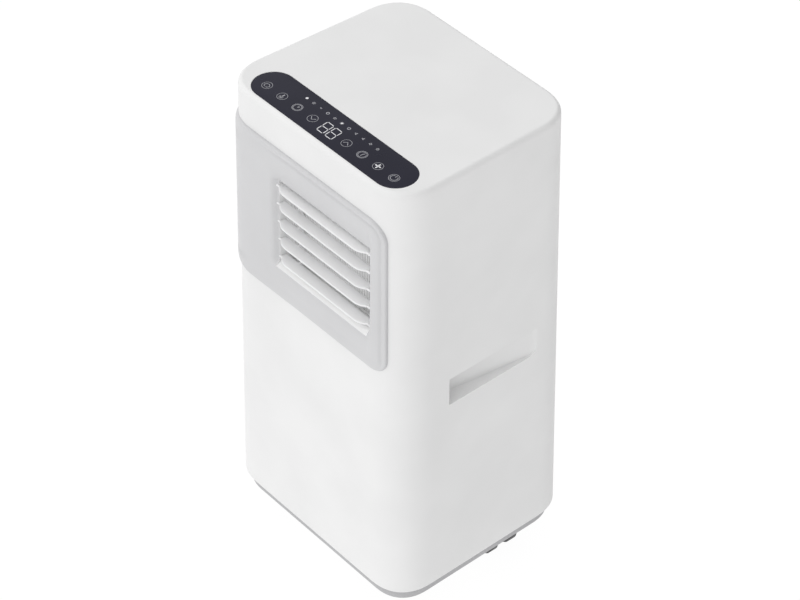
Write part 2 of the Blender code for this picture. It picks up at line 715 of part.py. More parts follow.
def make_lower_air_path():
    x, y, z = LOWER_WHEEL
    front, rear = 0.0370, 0.0930
    inner_front, inner_rear = front + SCROLL_WALL, rear - SCROLL_WALL
    around = LOWER_WHEEL_RADIUS + 0.0050
    outline = scroll_outline(LOWER_WHEEL, around + SCROLL_WALL, 0.014, 28)
    hollow = scroll_outline(LOWER_WHEEL, around, 0.014, 28)
    eye = (x, rear - 0.01, z), (x, rear + 0.01, z)
    shaft = (x, front - 0.01, z), (x, front + 0.01, z)
    scroll = prism("condenser_scroll", INNER_GREY, outline, "Y", front, rear)
    join(
        scroll,
        boxes("lower_neck", None, ((-0.050, front, z), (0.050, rear, 0.2800))),
        boxes("lower_foot", None, ((-0.050, front, PAN_FLOOR), (0.050, rear, z - 0.066))),
    )
    cut(
        scroll,
        prism("lower_scroll_inside", None, hollow, "Y", inner_front, inner_rear),
        boxes("lower_neck_inside", None, ((-0.047, inner_front, z), (0.047, inner_rear, 0.2900))),
        cylinder("lower_scroll_eye", None, *eye, 0.0560, 28),
        cylinder("lower_shaft_hole", None, *shaft, 0.0080, 20),
    )
    blower_wheel("condenser_blower", LOWER_WHEEL, LOWER_WHEEL_RADIUS, LOWER_WHEEL_HALF)
    motor = cylinder("condenser_motor", STEEL, (x, -0.0050, z), (x, front - 0.0008, z), 0.0380, 24)
    join(motor, cylinder("lower_shaft", None, (x, 0.02, z), (x, 0.0560, z), SHAFT_RADIUS, 16))
    outer = ((-0.0700, front - 0.003, 0.2806), (0.0700, 0.1225, 0.4055))
    duct = boxes("exhaust_duct", INNER_GREY, outer)
    cut(
        duct,
        boxes("exhaust_inside", None, ((-0.0670, front, 0.2836), (0.0670, 0.1195, 0.4025))),
        boxes("exhaust_throat", None, ((-0.0470, inner_front, 0.27), (0.0470, inner_rear, 0.30))),
        cylinder("exhaust_hole", None, (0, 0.11, PORT_Z), (0, 0.13, PORT_Z), 0.0560, 28),
    )
    make_coil("condenser_coil", (-0.1200, 0.1020, 0.0990), (0.1200, 0.1380, 0.2720), PAN_FLOOR)


# Refrigerant circuit and electrics.


def tube(name, finish, radius, route):
    """A pipe along a smooth curve through its route's points."""
    knots = [Vector(point) for point in route]
    points = []
    for i in range(len(knots) - 1):
        before, start = knots[max(i - 1, 0)], knots[i]
        end, after = knots[i + 1], knots[min(i + 2, len(knots) - 1)]
        for step in range(3):
            t = step / 3
            a = 2 * start
            b = (end - before) * t
            c = (2 * before - 5 * start + 4 * end - after) * t * t
            d = (3 * start - before - 3 * end + after) * t ** 3
            points.append((a + b + c + d) / 2)
    points.append(knots[-1])
    data = bpy.data.curves.new(name, "CURVE")
    data.dimensions = "3D"
    data.bevel_depth = radius
    data.bevel_resolution = 2
    data.use_fill_caps = True
    spline = data.splines.new("POLY")
    spline.points.add(len(points) - 1)
    for target, point in zip(spline.points, points):
        target.co = (*point, 1.0)
    data.materials.append(material(name, *finish))
    PARTS.objects.link(bpy.data.objects.new(name, data))


def make_compressor():
    x, y = COMPRESSOR
    radius = COMPRESSOR_RADIUS
    turned = (
        (0.0, 0.300),
        (0.030, 0.296),
        (0.048, 0.284),
        (radius, 0.270),
        (radius, 0.104),
        (0.046, 0.091),
        (0.0, 0.090),
    )
    bm = bmesh.new()
    verts = [bm.verts.new((x + r, y, z)) for r, z in turned]
    for start, end in zip(verts, verts[1:]):
        bm.edges.new((start, end))
    bmesh.ops.spin(
        bm,
        geom=bm.verts[:] + bm.edges[:],
        cent=(x, y, 0),
        axis=(0, 0, 1),
        angle=math.tau,
        steps=24,
        use_merge=True,
    )
    bmesh.ops.remove_doubles(bm, verts=bm.verts, dist=0.0001)
    body = new_object("compressor", bm, BLACK)
    join(body, cylinder("compressor_foot", None, (x, y, 0.0880), (x, y, 0.0920), radius + 0.012, 24))
    cut(body, cylinder("compressor_hollow", None, (x, y, 0.080), (x, y, 0.262), 0.036, 24))
    bores = bmesh.new()
    for index in range(3):
        angle = math.tau * index / 3 + math.radians(30)
        cx, cy = x + 0.056 * math.cos(angle), y + 0.056 * math.sin(angle)
        add_cylinder(bores, (cx, cy, 0.08), (cx, cy, 0.0935), 0.0046, 16)
        ends = (cx, cy, PAN_FLOOR), (cx, cy, 0.0875)
        grommet = cylinder(f"compressor_mount_{index + 1}", BLACK, *ends, 0.0080, 20)
        ends = (cx, cy, 0.08), (cx, cy, 0.0930)
        join(grommet, cylinder(f"mount_neck_{index + 1}", None, *ends, 0.0042, 16))
    cut(body, new_object("foot_bores", bores))
    x, y = ACCUMULATOR
    cylinder("suction_accumulator", BLACK, (x, y, 0.150), (x, y, 0.270), 0.0210, 28)


def make_pipes():
    x, y = COMPRESSOR
    ax, ay = ACCUMULATOR
    tube(
        "discharge_pipe",
        COPPER,
        0.0035,
        [
            (x, y, 0.3006),
            (x, y, 0.325),
            (-0.100, -0.030, 0.350),
            (-0.138, 0.030, 0.330),
            (-0.144, 0.095, 0.270),
            (-0.139, 0.118, 0.226),
            (-0.130, 0.120, 0.220),
            (-0.1212, 0.120, 0.220),
        ],
    )
    tube(
        "suction_pipe",
        COPPER,
        0.0040,
        [
            (ax, ay, 0.2706),
            (ax, ay, 0.320),
            (-0.050, -0.070, 0.372),
            (-0.125, -0.045, 0.385),
            (-0.156, -0.020, 0.412),
            (-0.157, 0.035, 0.455),
            (-0.152, 0.090, 0.492),
            (-0.140, 0.108, 0.500),
            (-0.132, 0.110, 0.500),
            (-0.1262, 0.110, 0.500),
        ],
    )
    tube(
        "liquid_pipe",
        COPPER,
        0.0025,
        [
            (0.1208, 0.120, 0.120),
            (0.128, 0.120, 0.120),
            (0.138, 0.115, 0.130),
            (0.142, 0.080, 0.220),
            (0.148, 0.010, 0.310),
            (0.153, 0.020, 0.400),
            (0.155, 0.060, 0.440),
            (0.146, 0.104, 0.462),
            (0.134, 0.110, 0.462),
            (0.1258, 0.110, 0.462),
        ],
    )


def make_electrics():
    box = boxes("electrical_box", INNER_GREY, ((0.045, -0.118, 0.0625), (0.140, -0.040, 0.300)))
    cut(box, boxes("electrical_inside", None, ((0.048, -0.13, 0.0655), (0.137, -0.043, 0.297))))
    boxes("control_board", BOARD, ((0.052, -0.0560, 0.075), (0.133, -0.0544, 0.290)))
    ends = (0.095, -0.0960, 0.0660), (0.095, -0.0960, 0.134)
    cylinder("run_capacitor", ALUMINIUM, *ends, 0.0180, 24)


def make_splash_unit():
    """The paddle wheel that throws the pan's water on to the condenser, and its motor."""
    x, y, z = SPLASH_WHEEL
    ends = (x, y - 0.003, z), (x, y + 0.003, z)
    wheel = cylinder("splash_wheel", INNER_GREY, *ends, 0.0260, 24, origin=SPLASH_WHEEL)
    size = Matrix.Diagonal((0.0120, 0.0160, 0.0020, 1.0))
    paddles = bmesh.new()
    for index in range(8):
        turn = Matrix.Rotation(math.tau * index / 8, 4, "Y")
        place = Matrix.Translation(SPLASH_WHEEL) @ turn @ Matrix.Translation((0.0200, 0, 0))
        bmesh.ops.create_cube(paddles, size=1.0, matrix=place @ size)
    join(wheel, new_object("splash_paddles", paddles))
    cut(wheel, cylinder("splash_bore", None, (x, y - 0.02, z), (x, y + 0.02, z), 0.0030, 16))
    motor = cylinder("splash_motor", STEEL, (x, 0.0280, z), (x, 0.0700, z), 0.0165, 24)
    join(motor, cylinder("splash_shaft", None, (x, 0.06, z), (x, y + 0.003, z), 0.0026, 16))


# Casters.


def make_casters():
    """Each trails along X at rest: 1 towards +X and -1 towards -X."""
    for name, (x, y, way) in CASTERS.items():
        axle_x, axle_z = x + way * TRAIL, WHEEL_RADIUS
        half = CASTER_WIDTH / 2
        inner = half - WHEEL_WIDTH
        web = inner - 0.0010
        back = x - way * 0.006
        ends = (x, y, 0.0370), (x, y, 0.0396)
        fork = cylinder(f"caster_{name}", BLACK, *ends, 0.0150, 24, origin=(x, y, BASE_BOTTOM))
        stem = (x, y, 0.0380), (x, y, 0.0570)
        hub = (axle_x, y - web, axle_z), (axle_x, y + web, axle_z)
        hood = ((min(back, axle_x), y - web, 0.0200), (max(back, axle_x), y + web, 0.0380))
        join(
            fork,
            cylinder(f"stem_{name}", None, *stem, STEM_RADIUS, 16),
            cylinder(f"hub_{name}", None, *hub, 0.0120, 20),
            boxes(f"hood_{name}", None, hood),
        )
        bore = (axle_x, y - 0.02, axle_z), (axle_x, y + 0.02, axle_z)
        cut(fork, cylinder(f"axle_bore_{name}", None, *bore, AXLE_RADIUS + 0.0004, 12))
        ends = (axle_x, y - half + 0.001, axle_z), (axle_x, y + half - 0.001, axle_z)
        wheel = cylinder(f"wheel_{name}", BLACK, *ends, AXLE_RADIUS, 12, origin=(axle_x, y, axle_z))
        for label, side in (("a", -1), ("b", 1)):
            ends = (axle_x, y + side * inner, axle_z), (axle_x, y + side * half, axle_z)
            join(wheel, cylinder(f"tread_{name}_{label}", None, *ends, WHEEL_RADIUS, 28))


make_body_shell()
make_rear_cover()
make_top_cover()
make_base_pan()
make_controls()
make_bezel()
make_louvers()
make_rear_pieces()
make_upper_air_path()
make_lower_air_path()
make_compressor()
make_pipes()
make_electrics()
make_splash_unit()
make_casters()
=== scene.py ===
"""Portable air conditioner: the visible surfaces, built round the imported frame.

Metres, +Z up. The outlet faces -Y, and +X is on the right of someone who looks at the outlet.
"""

import math

import bmesh
import bpy
import numpy as np
from mathutils import Matrix, Vector


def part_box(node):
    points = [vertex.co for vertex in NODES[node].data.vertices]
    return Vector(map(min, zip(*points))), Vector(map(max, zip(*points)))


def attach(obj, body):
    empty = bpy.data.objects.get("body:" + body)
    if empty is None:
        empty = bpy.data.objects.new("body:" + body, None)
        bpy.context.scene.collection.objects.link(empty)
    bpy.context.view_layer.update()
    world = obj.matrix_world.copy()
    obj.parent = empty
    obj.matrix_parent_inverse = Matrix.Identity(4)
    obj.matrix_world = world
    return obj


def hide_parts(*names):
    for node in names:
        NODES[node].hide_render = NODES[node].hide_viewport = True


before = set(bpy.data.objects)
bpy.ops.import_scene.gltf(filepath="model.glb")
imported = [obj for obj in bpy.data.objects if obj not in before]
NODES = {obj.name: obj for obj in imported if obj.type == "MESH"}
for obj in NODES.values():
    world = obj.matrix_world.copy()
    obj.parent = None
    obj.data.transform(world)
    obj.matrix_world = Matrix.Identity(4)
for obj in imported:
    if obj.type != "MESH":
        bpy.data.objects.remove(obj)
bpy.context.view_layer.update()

# Body: widths, depths and heights as in the frame.
SKIRT_BOTTOM, BAND_BOTTOM, BODY_TOP = 0.0596, 0.6917, 0.7000
BASE_BOTTOM = 0.0400
FRONT_HALF = (0.1758, 0.1689)
REAR_HALF = (0.1693, 0.1621)
FRONT_Y = (-0.1500, -0.1409)
REAR_Y = (0.1500, 0.1421)
CORNER_EXTENT, CORNER_POWER = 0.0580, 2.4
CORNER_POINTS = 22
BASE_INSET = 0.0078
WALL = 0.0028
REAR_PANEL_HALF, REAR_PANEL_REACH = 0.1095, 0.1200
TOP_INSET = 0.0058

# Outlet surround.
PROUD = 0.0040
BEZEL_RIGHT, BEZEL_SIDE_END = 0.1450, -0.0620
BEZEL_BOTTOM, BEZEL_TOP = 0.4230, 0.6500
RIGHT_TRIM = 0.0038
OPENING = (-0.0635, 0.1108, 0.4680, 0.5985)
DISH = (-0.0760, 0.1310, 0.4640, 0.6400)
DISH_DEPTH = 0.0045
SLEEVE_BACK = -0.1048

# Louvers.
BLADE_COUNT, BLADE_TOP_Z, BLADE_PITCH = 5, 0.5900, 0.0276
BLADE_AXIS_Y = -0.1387
BLADE_LEFT, BLADE_RIGHT = -0.0625, 0.1060
BLADE_CHORD, BLADE_THICKNESS = 0.0173, 0.0026
BLADE_SWEEP = math.radians(50)
LINK_X, LINK_REACH = -0.0380, 0.0150

# Controls.
PILL_CENTRE = (0.0047, -0.1064)
PILL_LENGTH, PILL_WIDTH = 0.2836, 0.0552

# Grips.
GRIP_FRONT, GRIP_REAR = -0.0640, 0.0840
GRIP_BOTTOM, GRIP_TOP = 0.3500, 0.3915
GRIP_DEPTH, GRIP_ROUND = 0.0230, 0.0150
GRIP_RAMP, GRIP_REAR_DEPTH = 0.0080, 0.0024

MM = 0.001


# Materials.


def new_material(name):
    made = bpy.data.materials.new(name)
    made.use_nodes = True
    nodes = made.node_tree.nodes
    return made, nodes, made.node_tree.links, nodes["Principled BSDF"]


def noise(nodes, links, coordinates, scale, detail=3.0, roughness=0.5):
    node = nodes.new("ShaderNodeTexNoise")
    node.inputs["Scale"].default_value = scale
    node.inputs["Detail"].default_value = detail
    node.inputs["Roughness"].default_value = roughness
    links.new(coordinates, node.inputs["Vector"])
    return node.outputs["Fac"]


def ranged(nodes, links, value, low, high):
    """Noise, which mostly keeps near its middle, spread over the range from low to high."""
    node = nodes.new("ShaderNodeMapRange")
    node.inputs["From Min"].default_value = 0.35
    node.inputs["From Max"].default_value = 0.65
    node.inputs["To Min"].default_value = low
    node.inputs["To Max"].default_value = high
    links.new(value, node.inputs["Value"])
    return node.outputs["Result"]


def moulded(
    name, colour, roughness, spread=0.06, grain=2600.0, bump=0.06, tint=0.02, specular=0.4, coat=0.0
):
    """Moulded or painted surface: fine grain, slow waves, uneven gloss, a little colour drift."""
    made, nodes, links, shader = new_material(name)
    place = nodes.new("ShaderNodeTexCoord").outputs["Object"]
    fine = noise(nodes, links, place, grain, 2.0, 0.6)
    slow = noise(nodes, links, place, 9.0, 2.0)
    patch = noise(nodes, links, place, 60.0, 4.0, 0.6)
    mix = nodes.new("ShaderNodeMix")
    mix.data_type = "RGBA"
    mix.inputs["A"].default_value = (*[c * (1 - tint) for c in colour], 1)
    mix.inputs["B"].default_value = (*[min(1.0, c * (1 + tint)) for c in colour], 1)
    links.new(ranged(nodes, links, slow, 0.0, 1.0), mix.inputs["Factor"])
    links.new(mix.outputs["Result"], shader.inputs["Base Color"])
    gloss = ranged(nodes, links, patch, roughness - spread, roughness + spread)
    links.new(gloss, shader.inputs["Roughness"])
    shader.inputs["Specular IOR Level"].default_value = specular
    if coat:
        shader.inputs["Coat Weight"].default_value = coat
        shader.inputs["Coat Roughness"].default_value = 0.08
    relief = nodes.new("ShaderNodeBump")
    relief.inputs["Strength"].default_value = bump
    relief.inputs["Distance"].default_value = 0.0002
    links.new(fine, relief.inputs["Height"])
    links.new(relief.outputs["Normal"], shader.inputs["Normal"])
    return made


def brushed(name, colour, roughness, axis):
    """Drawn or rolled metal, with fine lines along one axis and a few dull patches."""
    made, nodes, links, shader = new_material(name)
    place = nodes.new("ShaderNodeTexCoord").outputs["Object"]
    stretch = nodes.new("ShaderNodeMapping")
    stretch.inputs["Scale"].default_value = [60.0 if i == axis else 2400.0 for i in range(3)]
    links.new(place, stretch.inputs["Vector"])
    lines = noise(nodes, links, stretch.outputs["Vector"], 1.0, 3.0)
    dull = noise(nodes, links, place, 70.0, 4.0)
    mix = nodes.new("ShaderNodeMix")
    mix.data_type = "RGBA"
    mix.inputs["A"].default_value = (*[c * 0.86 for c in colour], 1)
    mix.inputs["B"].default_value = (*colour, 1)
    links.new(ranged(nodes, links, dull, 0.0, 1.0), mix.inputs["Factor"])
    links.new(mix.outputs["Result"], shader.inputs["Base Color"])
    gloss = ranged(nodes, links, lines, roughness - 0.08, roughness + 0.10)
    links.new(gloss, shader.inputs["Roughness"])
    shader.inputs["Metallic"].default_value = 1.0
    relief = nodes.new("ShaderNodeBump")
    relief.inputs["Strength"].default_value = 0.15
    relief.inputs["Distance"].default_value = 0.0002
    links.new(lines, relief.inputs["Height"])
    links.new(relief.outputs["Normal"], shader.inputs["Normal"])
    return made


WHITE = moulded("casing_white", (0.845, 0.845, 0.845), 0.42, specular=0.35)
OUTLET = moulded("outlet_grey", (0.640, 0.640, 0.650), 0.40, specular=0.35)
# Lighter than the outlet grey, though the blades are the same grey plastic: painted light, lifting the
# blade tops that the blade above shades.
LOUVER_PAINTED_LIGHT = moulded("louver_painted_light_grey", (0.900, 0.900, 0.905), 0.38, specular=0.35)
# Whiter than the outlet grey, for the sleeve inside the opening and the guard behind the blades:
# painted light, lifting places that lie in the blades' shade.
OUTLET_INSIDE_PAINTED_LIGHT = moulded("outlet_inside_painted_light_white", (0.92, 0.92, 0.92), 0.5, specular=0.3)
BASE = moulded("base_grey", (0.47, 0.47, 0.48), 0.5, grain=1800.0, bump=0.12)
LENS = moulded(
    "control_black", (0.022, 0.022, 0.036), 0.25, 0.03, bump=0.01, tint=0.10, specular=0.10
)
SYMBOL = moulded("symbol_grey", (0.42, 0.42, 0.45), 0.45, specular=0.2)
DIGIT = moulded("digit_white", (0.86, 0.86, 0.88), 0.45, specular=0.2)
INNER = moulded("inner_grey", (0.33, 0.34, 0.35), 0.55, grain=1500.0, bump=0.12)
DUCT = moulded("duct_white", (0.90, 0.90, 0.90), 0.55, grain=1500.0, bump=0.10)
GUIDE = moulded("guide_black", (0.03, 0.03, 0.03), 0.6, grain=1500.0)
BOARD = moulded("board_green", (0.03, 0.16, 0.07), 0.35, grain=900.0, bump=0.10, tint=0.12)
ENAMEL = moulded("shell_black", (0.02, 0.02, 0.02), 0.25, 0.06, grain=700.0, bump=0.08, coat=0.3)
RUBBER = moulded("rubber_black", (0.028, 0.028, 0.028), 0.75, grain=1600.0, bump=0.25)
CASTER = moulded("caster_black", (0.035, 0.035, 0.037), 0.45, grain=1800.0, bump=0.12)
# Darker grey for a thin strip round the foot of the outlet surround: painted shade standing for the
# seam's shadow gap, not a real gasket.
GAP_SHADE_GREY = moulded("painted_gap_shade_grey", (0.62, 0.62, 0.63), 0.7, grain=1200.0, bump=0.2)
STEEL = brushed("motor_steel", (0.58, 0.59, 0.60), 0.34, 1)
FIN = brushed("coil_aluminium", (0.78, 0.79, 0.80), 0.36, 2)
CAN = brushed("capacitor_aluminium", (0.80, 0.80, 0.80), 0.32, 2)
COPPER = brushed("pipe_copper", (0.72, 0.36, 0.20), 0.30, 2)


# Mesh helpers.


def place(obj, material, slot, replaced=(), body="cabinet"):
    obj.data.materials.append(material)
    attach(obj, body)
    if replaced:
        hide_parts(*replaced)


def from_bmesh(name, bm, sharp=35):
    bmesh.ops.recalc_face_normals(bm, faces=bm.faces)
    mesh = bpy.data.meshes.new(name)
    bm.to_mesh(mesh)
    bm.free()
    mesh.shade_smooth()
    mesh.set_sharp_from_angle(angle=math.radians(sharp))
    obj = bpy.data.objects.new(name, mesh)
    bpy.context.scene.collection.objects.link(obj)
    return obj


def loft(bm, rings, caps=True):
    """Quads through rings of equal count."""
    loops = [[bm.verts.new(point) for point in ring] for ring in rings]
    count = len(loops[0])
    for lower, upper in zip(loops, loops[1:]):
        for i in range(count):
            j = (i + 1) % count
            bm.faces.new((lower[i], lower[j], upper[j], upper[i]))
    if caps:
        bm.faces.new(loops[0][::-1])
        bm.faces.new(loops[-1])


def solid(name, rings, sharp=35):
    bm = bmesh.new()
    loft(bm, rings)
    return from_bmesh(name, bm, sharp)


def box_mesh(bm, low, high):
    low, high = Vector(low), Vector(high)
    size = Matrix.Diagonal((*(high - low), 1.0))
    bmesh.ops.create_cube(bm, size=1.0, matrix=Matrix.Translation((low + high) / 2) @ size)


def block(name, low, high):
    bm = bmesh.new()
    box_mesh(bm, low, high)
    return from_bmesh(name, bm)


def combine(obj, operation, *others):
    """Applies Booleans at once and removes the helpers."""
    for other in others:
        modifier = obj.modifiers.new(other.name, "BOOLEAN")
        modifier.operation = operation
        modifier.object = other
        graph = bpy.context.evaluated_depsgraph_get()
        mesh = bpy.data.meshes.new_from_object(obj.evaluated_get(graph))
        obj.modifiers.clear()
        obj.data = mesh
        bpy.data.objects.remove(other)
    obj.data.shade_smooth()
    obj.data.set_sharp_from_angle(angle=math.radians(35))


def bevelled(obj, width):
    modifier = obj.modifiers.new("edges", "BEVEL")
    modifier.width = width
    modifier.segments = 2
    modifier.limit_method = "ANGLE"
    modifier.angle_limit = math.radians(40)
    modifier.harden_normals = True


def turned(bm, profile, centre, axis, segments=48):
    """A profile of (along, radius) points turned round an axis through centre."""
    axis = Vector(axis)
    across = axis.orthogonal().normalized()
    rings = []
    for along, radius in profile:
        ring = []
        for k in range(segments):
            turn = Matrix.Rotation(math.tau * k / segments, 3, axis)
            ring.append(Vector(centre) + axis * along + turn @ across * radius)
        rings.append(ring)
    loft(bm, rings)


def rounded_outline(left, right, bottom, top, radii, steps, sides):
    """Counter-clockwise from the bottom left: the points of each corner, then of each side."""
    corners = [
        (left, bottom, 1, 1, 180),
        (right, bottom, -1, 1, 270),
        (right, top, -1, -1, 0),
        (left, top, 1, -1, 90),
    ]
    arcs = []
    for (x, z, sx, sz, start), radius in zip(corners, radii):
        arc = []
        for k in range(steps + 1):
            angle = math.radians(start + 90 * k / steps)
            u = x + sx * radius + radius * math.cos(angle)
            arc.append((u, z + sz * radius + radius * math.sin(angle)))
        arcs.append(arc)
    points = []
    for i, arc in enumerate(arcs):
        points += arc
        start, end = arc[-1], arcs[(i + 1) % 4][0]
        for k in range(1, sides[i]):
            t = k / sides[i]
            points.append(tuple(a + (b - a) * t for a, b in zip(start, end)))
    return points


def smooth(t):
    t = min(max(t, 0.0), 1.0)
    return t * t * (3 - 2 * t)


def ramp(value, start, length):
    """Rises smoothly from 0 at start to 1 at start + length."""
    return smooth((value - start) / length)


# Body outline.


def between(pair, z):
    return pair[0] + (pair[1] - pair[0]) * (z - SKIRT_BOTTOM) / (BAND_BOTTOM - SKIRT_BOTTOM)


def outline_stations():
    """Where the body's outline is sampled: faces by share, corners by angle."""
    stations = []
    faces = (("front", 36), ("right", 30), ("rear", 30), ("left", 30))
    for index, (face, count) in enumerate(faces):
        stations += [(face, -1 + 2 * k / count) for k in range(count)]
        stations += [(index, k / CORNER_POINTS) for k in range(CORNER_POINTS)]
    return stations


def sharp_corners(z, inset=0.0):
    front, rear = between(FRONT_HALF, z) - inset, between(REAR_HALF, z) - inset
    low, high = between(FRONT_Y, z) + inset, between(REAR_Y, z) - inset
    return [Vector(p) for p in ((front, low), (rear, high), (-rear, high), (-front, low))]


def outline_point(station, z, inset=0.0):
    kind, value = station
    corners = sharp_corners(z, inset)
    extent = CORNER_EXTENT - inset
    if kind in ("front", "right", "rear", "left"):
        index = ("front", "right", "rear", "left").index(kind)
        start, end = corners[index - 1], corners[index]
        along = (end - start).normalized()
        middle = (start + end) / 2
        return middle + along * value * ((end - start).length / 2 - extent)
    corner = corners[kind]
    before = (corners[kind - 1] - corner).normalized()
    after = (corners[(kind + 1) % 4] - corner).normalized()
    angle = math.radians(90 * value)
    c, s = math.cos(angle), math.sin(angle)
    reach = (c**CORNER_POWER + s**CORNER_POWER) ** (-1 / CORNER_POWER)
    return corner + before * extent * (1 - s * reach) + after * extent * (1 - c * reach)


STATIONS = outline_stations()


def body_ring(z, inset=0.0, height=None):
    height = z if height is None else height
    return [(*outline_point(station, z, inset), height) for station in STATIONS]


# Casings.


def grip_wedge(side, grow):
    """The space of a grip: deepest in front, lower rear corner rounded, a ramp at the rear."""
    rings = []
    count = 60
    front, rear = GRIP_FRONT - grow, GRIP_REAR + grow
    for k in range(count + 1):
        y = front + (rear - front) * k / count
        taper = REAR_HALF[0] - FRONT_HALF[0]
        face = FRONT_HALF[0] + taper * (y - FRONT_Y[0]) / (REAR_Y[0] - FRONT_Y[0])
        face -= between((0.0, FRONT_HALF[0] - FRONT_HALF[1]), (GRIP_BOTTOM + GRIP_TOP) / 2)
        along = min((y - GRIP_FRONT) / (GRIP_REAR - GRIP_RAMP - GRIP_FRONT), 1.0)
        depth = GRIP_DEPTH + (GRIP_REAR_DEPTH - GRIP_DEPTH) * along
        if y > GRIP_REAR - GRIP_RAMP:
            depth *= (GRIP_REAR + 0.0002 - y) / GRIP_RAMP
        floor = face - depth - grow
        out = face + 0.02 if grow == 0 else face - 0.0009
        lift = 0.0
        if y > GRIP_REAR - GRIP_ROUND:
            reach = min((y - GRIP_REAR + GRIP_ROUND) / GRIP_ROUND, 1.0)
            lift = GRIP_ROUND * (1 - math.sqrt(1 - reach**2))
        low, high = GRIP_BOTTOM - grow + lift, GRIP_TOP + grow
        fold = min(0.0016, 0.4 * max(out - floor, 0.0004))
        ring = [(out, low), (floor + fold, low), (floor + 0.3 * fold, low + 0.3 * fold)]
        ring += [(floor, low + fold), (floor, high), (out, high)]
        rings.append([(side * u, y, v) for u, v in ring])
    return rings


def make_shell():
    straight_bottom, straight_top = 0.0660, 0.6900
    heights = [SKIRT_BOTTOM, 0.0600, 0.0606, 0.0620, straight_bottom]
    insets = [0.0012, 0.0004, 0.0001, 0.0, 0.0]
    steps = 26
    for k in range(1, steps):
        heights.append(straight_bottom + (straight_top - straight_bottom) * k / steps)
        insets.append(0.0)
    heights += [straight_top, BAND_BOTTOM - 0.00005]
    insets += [0.0, 0.0]
    rings = [body_ring(z, inset) for z, inset in zip(heights, insets)]
    shell = solid("body_skin", rings)
    levels = (SKIRT_BOTTOM - 0.01, 0.20, 0.35, 0.50, BAND_BOTTOM + 0.01)
    inside = [body_ring(z, WALL) for z in levels]
    half = REAR_PANEL_HALF + 0.0002
    left, right, bottom, top = DISH
    combine(
        shell,
        "DIFFERENCE",
        solid("inside", inside),
        block("back", (-half, REAR_PANEL_REACH, 0), (half, 0.2, 0.8)),
        block("window", (left - 0.006, -0.2, bottom - 0.032), (right + 0.001, -0.1, top + 0.002)),
    )
    for side in (1, -1):
        combine(shell, "UNION", solid("cup", grip_wedge(side, WALL)))
        combine(shell, "DIFFERENCE", solid("space", grip_wedge(side, 0.0)))
    place(shell, WHITE, "casing_white", ["body_shell"])


def pill_outline(length, width):
    x, y = PILL_CENTRE
    steps = 20
    half, radius = length / 2 - width / 2, width / 2
    points = []
    for side, start in ((1, -90), (-1, 90)):
        for k in range(steps + 1):
            angle = math.radians(start + 180 * k / steps)
            u = x + side * half + radius * math.cos(angle)
            points.append((u, y + radius * math.sin(angle)))
    return points


def make_top():
    rings = [body_ring(BAND_BOTTOM, 0.0, BAND_BOTTOM)]
    steps = 10
    for k in range(1, steps + 1):
        angle = math.radians(90 * k / steps)
        inset = TOP_INSET * (1 - math.cos(angle))
        height = BAND_BOTTOM + (BODY_TOP - BAND_BOTTOM) * math.sin(angle)
        rings.append(body_ring(BAND_BOTTOM, inset, height))
    rings.append(body_ring(BAND_BOTTOM, TOP_INSET + 0.0006, BODY_TOP))
    top = solid("top_skin", rings, 50)
    outline = pill_outline(PILL_LENGTH + 0.0005, PILL_WIDTH + 0.0005)
    pocket = [[(u, v, z) for u, v in outline] for z in (0.6974, 0.71)]
    hollow = [body_ring(BAND_BOTTOM, WALL, z) for z in (0.68, 0.6960)]
    combine(top, "DIFFERENCE", solid("pocket", pocket), solid("hollow", hollow))
    place(top, WHITE, "casing_white", ["top_cover"])
    rings = []
    edge = ((0.0023, 0.0), (0.0004, 0.0), (0.0002, 0.00006), (0.00005, 0.0002), (0.0, 0.0005))
    for drop, inset in edge:
        outline = pill_outline(PILL_LENGTH - 2 * inset, PILL_WIDTH - 2 * inset)
        rings.append([(u, v, 0.6998 - drop) for u, v in outline])
    place(solid("control_face", rings, 60), LENS, "control_black", ["control_lens"])


def make_base():
    rings = [
        body_ring(SKIRT_BOTTOM, BASE_INSET + 0.0030, 0.0440),
        body_ring(SKIRT_BOTTOM, BASE_INSET + 0.0030, 0.0760),
        body_ring(SKIRT_BOTTOM, BASE_INSET + 0.0004, 0.0760),
        body_ring(SKIRT_BOTTOM, BASE_INSET, 0.0750),
        body_ring(SKIRT_BOTTOM, BASE_INSET, 0.0600),
        body_ring(SKIRT_BOTTOM, BASE_INSET, 0.0432),
        body_ring(SKIRT_BOTTOM, BASE_INSET + 0.0005, 0.0414),
        body_ring(SKIRT_BOTTOM, BASE_INSET + 0.0017, 0.0403),
        body_ring(SKIRT_BOTTOM, BASE_INSET + 0.0032, 0.0400),
        body_ring(SKIRT_BOTTOM, BASE_INSET + 0.0050, 0.0400),
    ]
    bm = bmesh.new()
    loft(bm, rings)
    socket = [(0.0, 0.011), (0.018, 0.011), (0.0185, 0.0105), (0.0185, 0.0)]
    rim = [(0.0, 0.019), (0.0006, 0.0185), (0.0006, 0.0)]
    for x, y, _ in CASTERS.values():
        turned(bm, socket, (x, y, 0.0440), (0, 0, 1), 32)
        turned(bm, rim, (x, y, BASE_BOTTOM - 0.0001), (0, 0, -1), 40)
    place(from_bmesh("base_skin", bm, 30), BASE, "base_grey", ["base_pan"])


# Outlet surround.

BEZEL_MIDDLE = (BEZEL_BOTTOM + BEZEL_TOP) / 2
BEZEL_CORNERS = (0.018, 0.022, 0.027, 0.018)
CORNER_STEPS, FRONT_STEPS, FAR_CORNER_STEPS, SIDE_STEPS = 60, 60, 80, 40
END_SETBACK = 0.0013
# Bead and groove along the right and top edges: how far inside the edge they start and end.
BEAD_END, GROOVE_START, GROOVE_END = 0.0075, 0.0068, 0.0096
GROOVE_DEPTH, GROOVE_RISE, BEAD_HEIGHT = 0.0024, 0.0014, 0.0014
